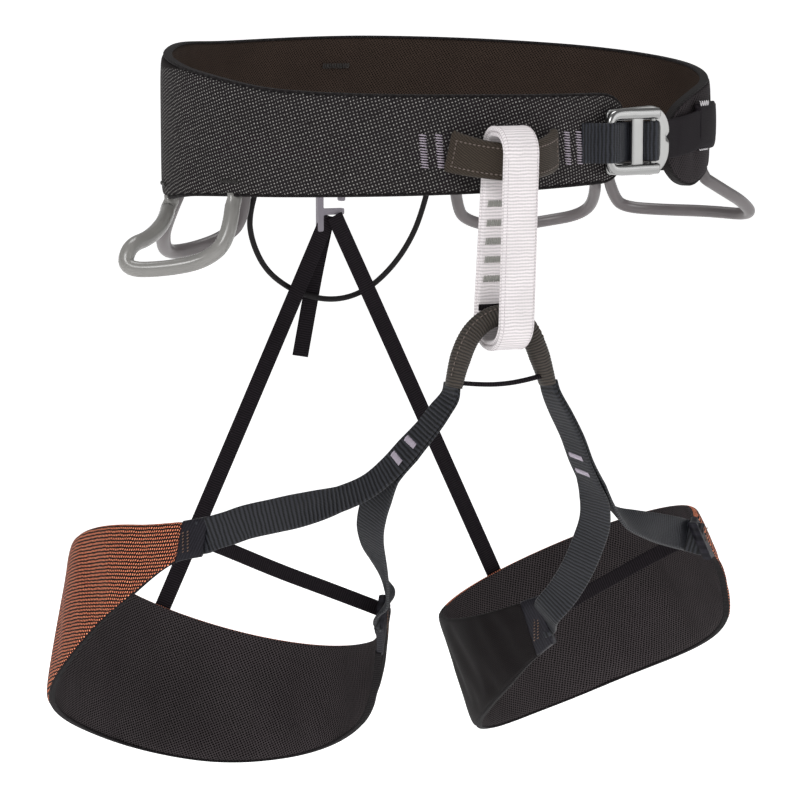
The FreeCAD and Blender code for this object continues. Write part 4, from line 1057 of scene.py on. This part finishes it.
def keeper():
    """Elastic band that holds the strap's free end to the belt."""
    z = smooth(STRAP_HEIGHTS, KEEPER_STATION)
    half = STRAP_WIDTH / 2 + 1.6
    inner = BELT_OUT + 0.3
    outer = BELT_OUT + 3.3
    corners = [(inner, -half - 0.5), (inner + 1.8, -half - 0.7), (outer - 1.0, -half), (outer, -half + 1.8),
               (outer + 0.2, 0.0), (outer, half - 1.8), (outer - 1.0, half), (inner + 1.8, half + 0.7),
               (inner, half + 0.5)]
    stations = even(KEEPER_STATION - KEEPER_WIDTH / 2, KEEPER_STATION + KEEPER_WIDTH / 2, 2.0)
    rings = []
    for distance in stations:
        rings.append([on_belt(distance, out, z + height) for out, height in corners]
                     + [on_belt(distance, out - 0.9, z + height * 0.95) for out, height in reversed(corners)])
    places = [distance - stations[0] for distance in stations]
    shape = loft(rings, places, distances(rings[0], closed=True))
    piece = add_piece("strap_keeper_elastic", shape, ["elastic"], None)
    refine(piece)
    stand_in(piece, "waist_belt", ("strap_keeper",))
    segments = []
    for height, lean in ((half + 0.2, 1.6), (-half - 0.4, 0.4)):
        for k in range(8):
            distance = KEEPER_STATION + 3.0 + k * 1.7
            normal = belt_normal(distance)[1]
            way = lean if k % 2 else -lean
            start = on_belt(distance - 0.6, BELT_OUT + 2.6, z + height - way)
            end = on_belt(distance + 0.8, BELT_OUT + 2.6, z + height + way)
            segments.append((start, end, normal))
    stitches("strap_keeper_stitching", segments, 0.28, "white_thread", "waist_belt")


def belay_path(grow):
    """Closed line round the loop, rounded at its corners."""
    points = [Vector((0, y, z)) for y, z in LOOP_CORNERS]
    rows = []
    for i, here in enumerate(points):
        back = (points[i - 1] - here).normalized()
        ahead = (points[(i + 1) % 4] - here).normalized()
        turn = math.pi - back.angle(ahead)
        centre = here + (back + ahead).normalized() * (LOOP_CORNER_RADII[i] / math.cos(turn / 2))
        radius = LOOP_CORNER_RADII[i] + grow
        first = (here + back * (LOOP_CORNER_RADII[i] * math.tan(turn / 2)) - centre).normalized()
        last = (here + ahead * (LOOP_CORNER_RADII[i] * math.tan(turn / 2)) - centre).normalized()
        for k in range(7):
            place = centre + first.slerp(last, k / 6) * radius
            rows.append((place + Vector((LOOP_X, 0, 0)), Vector((1, 0, 0))))
    return rows


def rear_leg_place(z, out):
    """Point on the front face of the loop's rear leg at a height, in the middle of its width."""
    (top_y, top_z), (low_y, low_z) = LOOP_CORNERS[1], LOOP_CORNERS[2]
    share = (z - top_z) / (low_z - top_z)
    return Vector((LOOP_X, top_y + (low_y - top_y) * share - LOOP_THICKNESS / 2 - out, z))


def belay_loop():
    for name, grow in (("outer", LOOP_PLY_OUT), ("inner", -LOOP_PLY_OUT)):
        ribbon("belay_loop_%s_ply" % name, belay_path(grow), LOOP_WIDTH - (0.0 if grow > 0 else 0.5), LOOP_PLY,
               "pale", "belay_loop_body", ("belay_loop",) if grow > 0 else (), 0.4,
               closed=True, rib=(1.6, 0.07), steps=14)
    segments = []
    up = (rear_leg_place(-30, 0) - rear_leg_place(-80, 0)).normalized()
    sideways = Vector((1, 0, 0))
    front = sideways.cross(up).normalized()
    if front.y > 0:
        front = -front
    for z in (-36.0, -45.5, -54.5, -63.5, -73.0):
        segments += tack(rear_leg_place(z, 0.15) - sideways, sideways, up, front, 11.0, 3.6, 0.8)
    stitches("belay_loop_tack_thread", segments, 0.4, "green_thread", "belay_loop_body",
             "belay_loop_bar_tacks")
    rows = [(rear_leg_place(-87.0, 0.7) + Vector((x, 0, 0)), up) for x in (-8.6, -4.0, 0.0, 4.0, 8.6)]
    ribbon("belay_loop_wear_tape", rows, 3.2, 1.0, "elastic", "belay_loop_body", ("belay_loop_wear_strip",),
           0.8)
    edges = []
    for x in (-LOOP_WIDTH / 2 + 1.3, LOOP_WIDTH / 2 - 1.3):
        line = spread(belay_path(LOOP_PLY_OUT + LOOP_PLY / 2 + 0.05), 0.8, closed=True)
        path = [p + Vector((x, 0, 0)) for p, s in line]
        outwards = [o if o.dot(p - Vector((LOOP_X, -127, -52))) > 0 else -o
                    for p, a, s, o in frames(line, closed=True)]
        edges += running_stitch(path, outwards, 0.9, 0.7)
    stitches("belay_loop_edge_yarn", edges, 0.22, "loop_thread", "belay_loop_body")


def lower_tie_in():
    centre = sunk_line(ARCH_POINTS, 0.5)
    line = [(p, Vector((0, 1, 0))) for p in centre]

    def section(distance, total):
        end = min(distance, total - distance)
        flat = max(0.0, 1 - end / 14.0)
        ribs = 0.13 * math.cos(2 * math.pi * distance / 1.5)
        return ARCH_RADIUS * (1.0 + 0.22 * flat) + ribs, ARCH_RADIUS * (0.96 - 0.28 * flat) + ribs

    shape = loft(*tube_rings(line, ARCH_RADIUS, 28, section))
    add_piece("lower_tie_in_sleeve_cloth", shape, ["arch"], "waist_belt",
              ("lower_tie_in_sleeve", "lower_tie_in_core"))
    path = []
    outwards = []
    for place, along, across, outward in frames(line)[6:-40]:
        away = outward if outward.dot(place - Vector((-9, -122, -112))) > 0 else -outward
        face = (away * 0.75 - across * 0.66).normalized()
        path.append(place + face * (ARCH_RADIUS + 0.05))
        outwards.append(face)
    stitches("lower_tie_in_stitching", running_stitch(path, outwards, 1.7, 1.0), 0.3, "pink_thread",
             "waist_belt")
    left = Vector(ARCH_POINTS[0]) + Vector((3.5, -1.0, 1.8))
    right = Vector(ARCH_POINTS[-1]) + Vector((-4.0, -1.0, 4.0))
    rows = [(left.lerp(right, t) + Vector((0, -1.2 * math.sin(math.pi * t), -2.0 * math.sin(math.pi * t))),
             Vector((0, 1, 0))) for t in (0.0, 0.2, 0.4, 0.6, 0.8, 1.0)]
    ribbon("lower_cross_cord", rows, 4.2, 2.1, "elastic", "waist_belt", ("lower_cross_strap",),
           0.8)


# ================ webbing of the legs
def arch_taper(share):
    """The webbing is gathered where it is sewn into the arch."""
    return 1 - 0.3 * math.exp(-(share / 0.07)**2)


def leg_straps():
    """Webbing from the arch to the leg tabs: it starts inside the arch's sleeve and ends inside the pads."""
    ends = (ARCH_POINTS[:2], ARCH_POINTS[:-3:-1])
    for leg, pair in ((RIGHT_LEG, (RIGHT_LATERAL, RIGHT_MEDIAL)), (LEFT_LEG, (LEFT_LATERAL, LEFT_MEDIAL))):
        side = leg["side"]
        for kind, route, shares in zip(("lateral", "medial"), pair, ((0.0, 0.008), (1.0, 0.99))):
            rows = [(Vector(point), Vector(way)) for point, way in route]
            first = rows[0][0]
            end, inner = (Vector(p) for p in min(ends, key=lambda two: (Vector(two[0]) - first).length))
            rows.insert(0, (first + (inner - end).normalized() * 6.0, rows[0][1]))
            inside = [leg_point(leg, t, smooth(leg["widths"], t) / 2, LEG_OUT / 2) for t in shares]
            rows[-1:] = [(point, route[-1][1]) for point in inside]
            node = "%s_leg_%s_webbing" % (side, kind)
            piece = ribbon(node + "_strap", rows, LEG_WEBBING_WIDTH, LEG_WEBBING_THICKNESS, "dark_webbing",
                           None, (node,), 0.35, rib=LEG_RIB, taper=arch_taper, steps=12)
            last = first + Vector((0, 0, -14))
            side + "_leg"
            first * MM
            last * MM
            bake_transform(piece)
        leg_tacks(side, pair[0] if side == "right" else pair[1])


def leg_tacks(side, route):
    """Two bars of stitching across a leg's front ply, on both its faces."""
    segments = []
    for before, share in ((2, 0.75), (3, 0.5)):
        first = Vector(route[before][0])
        second = Vector(route[before + 1][0])
        along = (second - first).normalized()
        side_way = Vector(route[before + 1][1])
        across = (side_way - along * side_way.dot(along)).normalized()
        outward = along.cross(across).normalized()
        for face in (1, -1):
            centre = first.lerp(second, share) + outward * (face * (LEG_WEBBING_THICKNESS / 2 + 0.15))
            segments += tack(centre, across, along, outward * face, 10.0, 3.6, 0.8)
    body = side + "_leg"
    stitches(body + "_tack_thread", segments, 0.36, "lilac_thread", body, body + "_bar_tacks")


def leg_elastic(leg):
    side = leg["side"]
    first, second = (leg_point(leg, share, down, -0.4) for share, down in leg["elastic"])
    middle = (first + second) / 2 + Vector((0, 6.0, -1.0))
    rows = [(p, UP) for p in (first, first.lerp(middle, 0.5) + Vector((0, 1.5, 0)), middle,
                                             second.lerp(middle, 0.5) + Vector((0, 1.5, 0)), second)]
    ribbon(side + "_leg_elastic_band", rows, 7.6, 1.2, "elastic", side + "_leg",
           (side + "_leg_elastic",), 1.0)


# ================ rear
def risers():
    """Elastic straps from the leg loops up to the hook, and the tail that hangs from it."""
    for side, (foot, head, top) in RISERS.items():
        foot, top = Vector(foot), Vector(top)
        body = side + "_leg"
        way = (Vector(head) - foot).normalized()
        across = way.cross(Vector((0, 1, 0))).normalized()
        sag = Vector((0, -0.4, 0))
        places = [foot - way * 11.0 + Vector((0, 0.3, 0)), foot, foot.lerp(top, 0.33) + sag,
                  foot.lerp(top, 0.66) + sag, top]
        spot = foot - way * 6.0 + Vector((0, 0.95, 0))
        segments = tack(spot, across, way, Vector((0, 1, 0)), 8.0, 3.0, 0.9)
        stitches(side + "_riser_tack", segments, 0.3, "brown_thread", body)
        ribbon(side + "_riser_elastic", [(place, across) for place in places], 9.4, 1.2, "elastic", body,
               (side + "_riser",), 1.0)
    ribbon("riser_tail_elastic", [(place, (1, 0, -0.2)) for place in RISER_TAIL], 9.5, 1.3, "elastic",
           "riser_tail_body", ("riser_tail",), 1.0)


def haul_cord():
    data = bpy.data.curves.new("haul_cord", "CURVE")
    data.dimensions = "3D"
    data.bevel_depth = HAUL_RADIUS * MM
    data.bevel_resolution = 5
    data.resolution_u = 24
    data.use_fill_caps = True
    line = data.splines.new("NURBS")
    line.points.add(len(HAUL_ROUTE) - 1)
    for point, place in zip(line.points, HAUL_ROUTE):
        point.co = (place[0] * MM, place[1] * MM, place[2] * MM, 1.0)
    line.order_u = 3
    line.use_endpoint_u = True
    data.materials.append(MATERIALS["haul"])
    piece = bpy.data.objects.new("haul_cord", data)
    bpy.context.scene.collection.objects.link(piece)
    stand_in(piece, "haul_loop_body", ("haul_loop",))
    Vector(HAUL_ROUTE[0]) * MM


def gear_loops():
    """Stiff tubes that hang from the belt's lower edge, pressed flat where they are sewn in."""
    for name, (start, points, end) in GEAR_LOOPS.items():
        node = "gear_loop_" + name
        edge = [belt_edges(d)[0] for d in (start, end)]
        ends = [on_belt(d, 5.2, low - 1.55 - GEAR_RADIUS - 0.6) for d, low in zip((start, end), edge)]
        centre = sunk_line([ends[0]] + points + [ends[1]], 1.6)
        before = [on_belt(start, 3.2, edge[0] + z) for z in (1.2, -1.8)]
        after = [on_belt(end, 3.2, edge[1] + z) for z in (-1.8, 1.2)]
        radius = GEAR_RADIUS if "right" in name else LEFT_GEAR_RADIUS
        plane = (centre[len(centre) // 3] - ends[0]).cross(ends[1] - ends[0]).normalized()
        line = [(p, plane) for p in before + centre + after]

        def section(distance, total):
            near = max(0.0, 1 - min(distance, total - distance) / 11.0)**1.5
            return radius * (1 + 0.05 * near), radius * (1 - 0.5 * near)

        # The front right tube takes the lighter copy of the grey plastic as painted light, the others the darker
        # copy as painted shade.
        look = "painted_lit_tube" if name == "front_right" else "tube_plastic_painted_shade"
        shape = loft(*tube_rings(line, radius, 24, section))
        piece = add_piece(node + "_tube", shape, [look], None, (node, node + "_core"))
        top = (ends[0].z + ends[1].z) / 2
        high, low = (Vector((0, 0, (top + z) * MM)) for z in (4.5, -9.0))
        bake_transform(piece)
        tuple(high)
        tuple(low)


def pad_tacks():
    """Small dark tacks where the gear loops are sewn into the belt, outside and inside."""
    segments = []
    for start, points, end in GEAR_LOOPS.values():
        for distance in (start, end):
            if distance > MESH_END:
                continue
            normal = belt_normal(distance)[1]
            level = belt_edges(distance)[0] + 7.0
            across = normal.cross(UP)
            for out, way in ((BELT_OUT + 0.7, 1), (-0.8, -1)):
                centre = on_belt(distance, out, level)
                segments += tack(centre, across, UP, normal * way, 11.0, 2.2, 0.8)
    centre = on_belt(BELT_BACK, -1.0, 24.0)
    normal = belt_normal(BELT_BACK)[1]
    segments += tack(centre, normal.cross(UP), UP, -normal, 16.0, 3.0, 1.0)
    stitches("belt_tack_thread", segments, 0.34, "dark_thread", "waist_belt")


# ================ carried-over CAD nodes
def dress_nodes():
    for node, material in (("buckle_frame", "matte"), ("rear_hook", "hook"), ("hook_ring", "cord")):
        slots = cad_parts[node].data.materials
        slots.clear()
        slots.append(MATERIALS[material])


# ================ studio
def add_light(name, place, size, power):
    data = bpy.data.lights.new(name, "AREA")
    data.shape = "DISK"
    data.size = size
    data.energy = power
    light = bpy.data.objects.new(name, data)
    light.location = place
    light.rotation_euler = (Vector((0, 0, -0.15)) - Vector(place)).to_track_quat("-Z", "Y").to_euler()
    bpy.context.scene.collection.objects.link(light)


def add_floor():
    """Bright disc under the object, whose far rim curves up to hide the horizon. Sizes are metres."""
    look = Look("studio_floor", roughness=0.9, specular=0.1)
    tones = [shade((level, level, level)) for level in (0.90, 0.93)]
    look.give(look.shader, {"Base Color": look.mix(look.noise(look.solid_place(), 3.0, 2.0), *tones),
                            "Emission Color": shade((1, 1, 1)), "Emission Strength": 0.72})
    level = cad_box[0][2] - 0.16
    sides = 64
    corners = []
    for radius, height in ((50.0, 0.0), (58.0, 2.0), (60.0, 11.0)):
        for k in range(sides):
            turn = 2 * math.pi * k / sides
            corners.append((radius * math.cos(turn), radius * math.sin(turn), level + height))
    faces = [tuple(range(sides))]
    for k in range(2 * sides):
        after = k + 1 if (k + 1) % sides else k + 1 - sides
        faces.append((k, after, after + sides, k + sides))
    mesh = bpy.data.meshes.new("studio_floor")
    mesh.from_pydata(corners, [], faces)
    mesh.materials.append(look.material)
    floor = bpy.data.objects.new("studio_floor", mesh)
    bpy.context.scene.collection.objects.link(floor)


def studio():
    add_floor()
    world = bpy.data.worlds.new("studio")
    world.use_nodes = True
    background = world.node_tree.nodes["Background"].inputs
    background["Color"].default_value = shade((1, 1, 1))
    background["Strength"].default_value = 0.34
    bpy.context.scene.world = world
    add_light("key", (-1.3, -1.5, 1.4), 0.9, 26.0)
    add_light("fill", (1.6, -1.2, 0.5), 1.4, 7.0)
    add_light("top", (0.1, 0.4, 1.7), 1.0, 12.0)


# ================ assembly
add_camera()
haul_cord()
studio()
belt_pad()
for leg in (RIGHT_LEG, LEFT_LEG):
    leg_pad(leg)
    leg_tab(leg, True)
    leg_tab(leg, False)
    leg_elastic(leg)
upper_tie_in()
front_tacks()
buckle_straps()
keeper()
belay_loop()
lower_tie_in()
leg_straps()
risers()
gear_loops()
pad_tacks()
dress_nodes()
bpy.context.scene.view_settings.view_transform = "Standard"
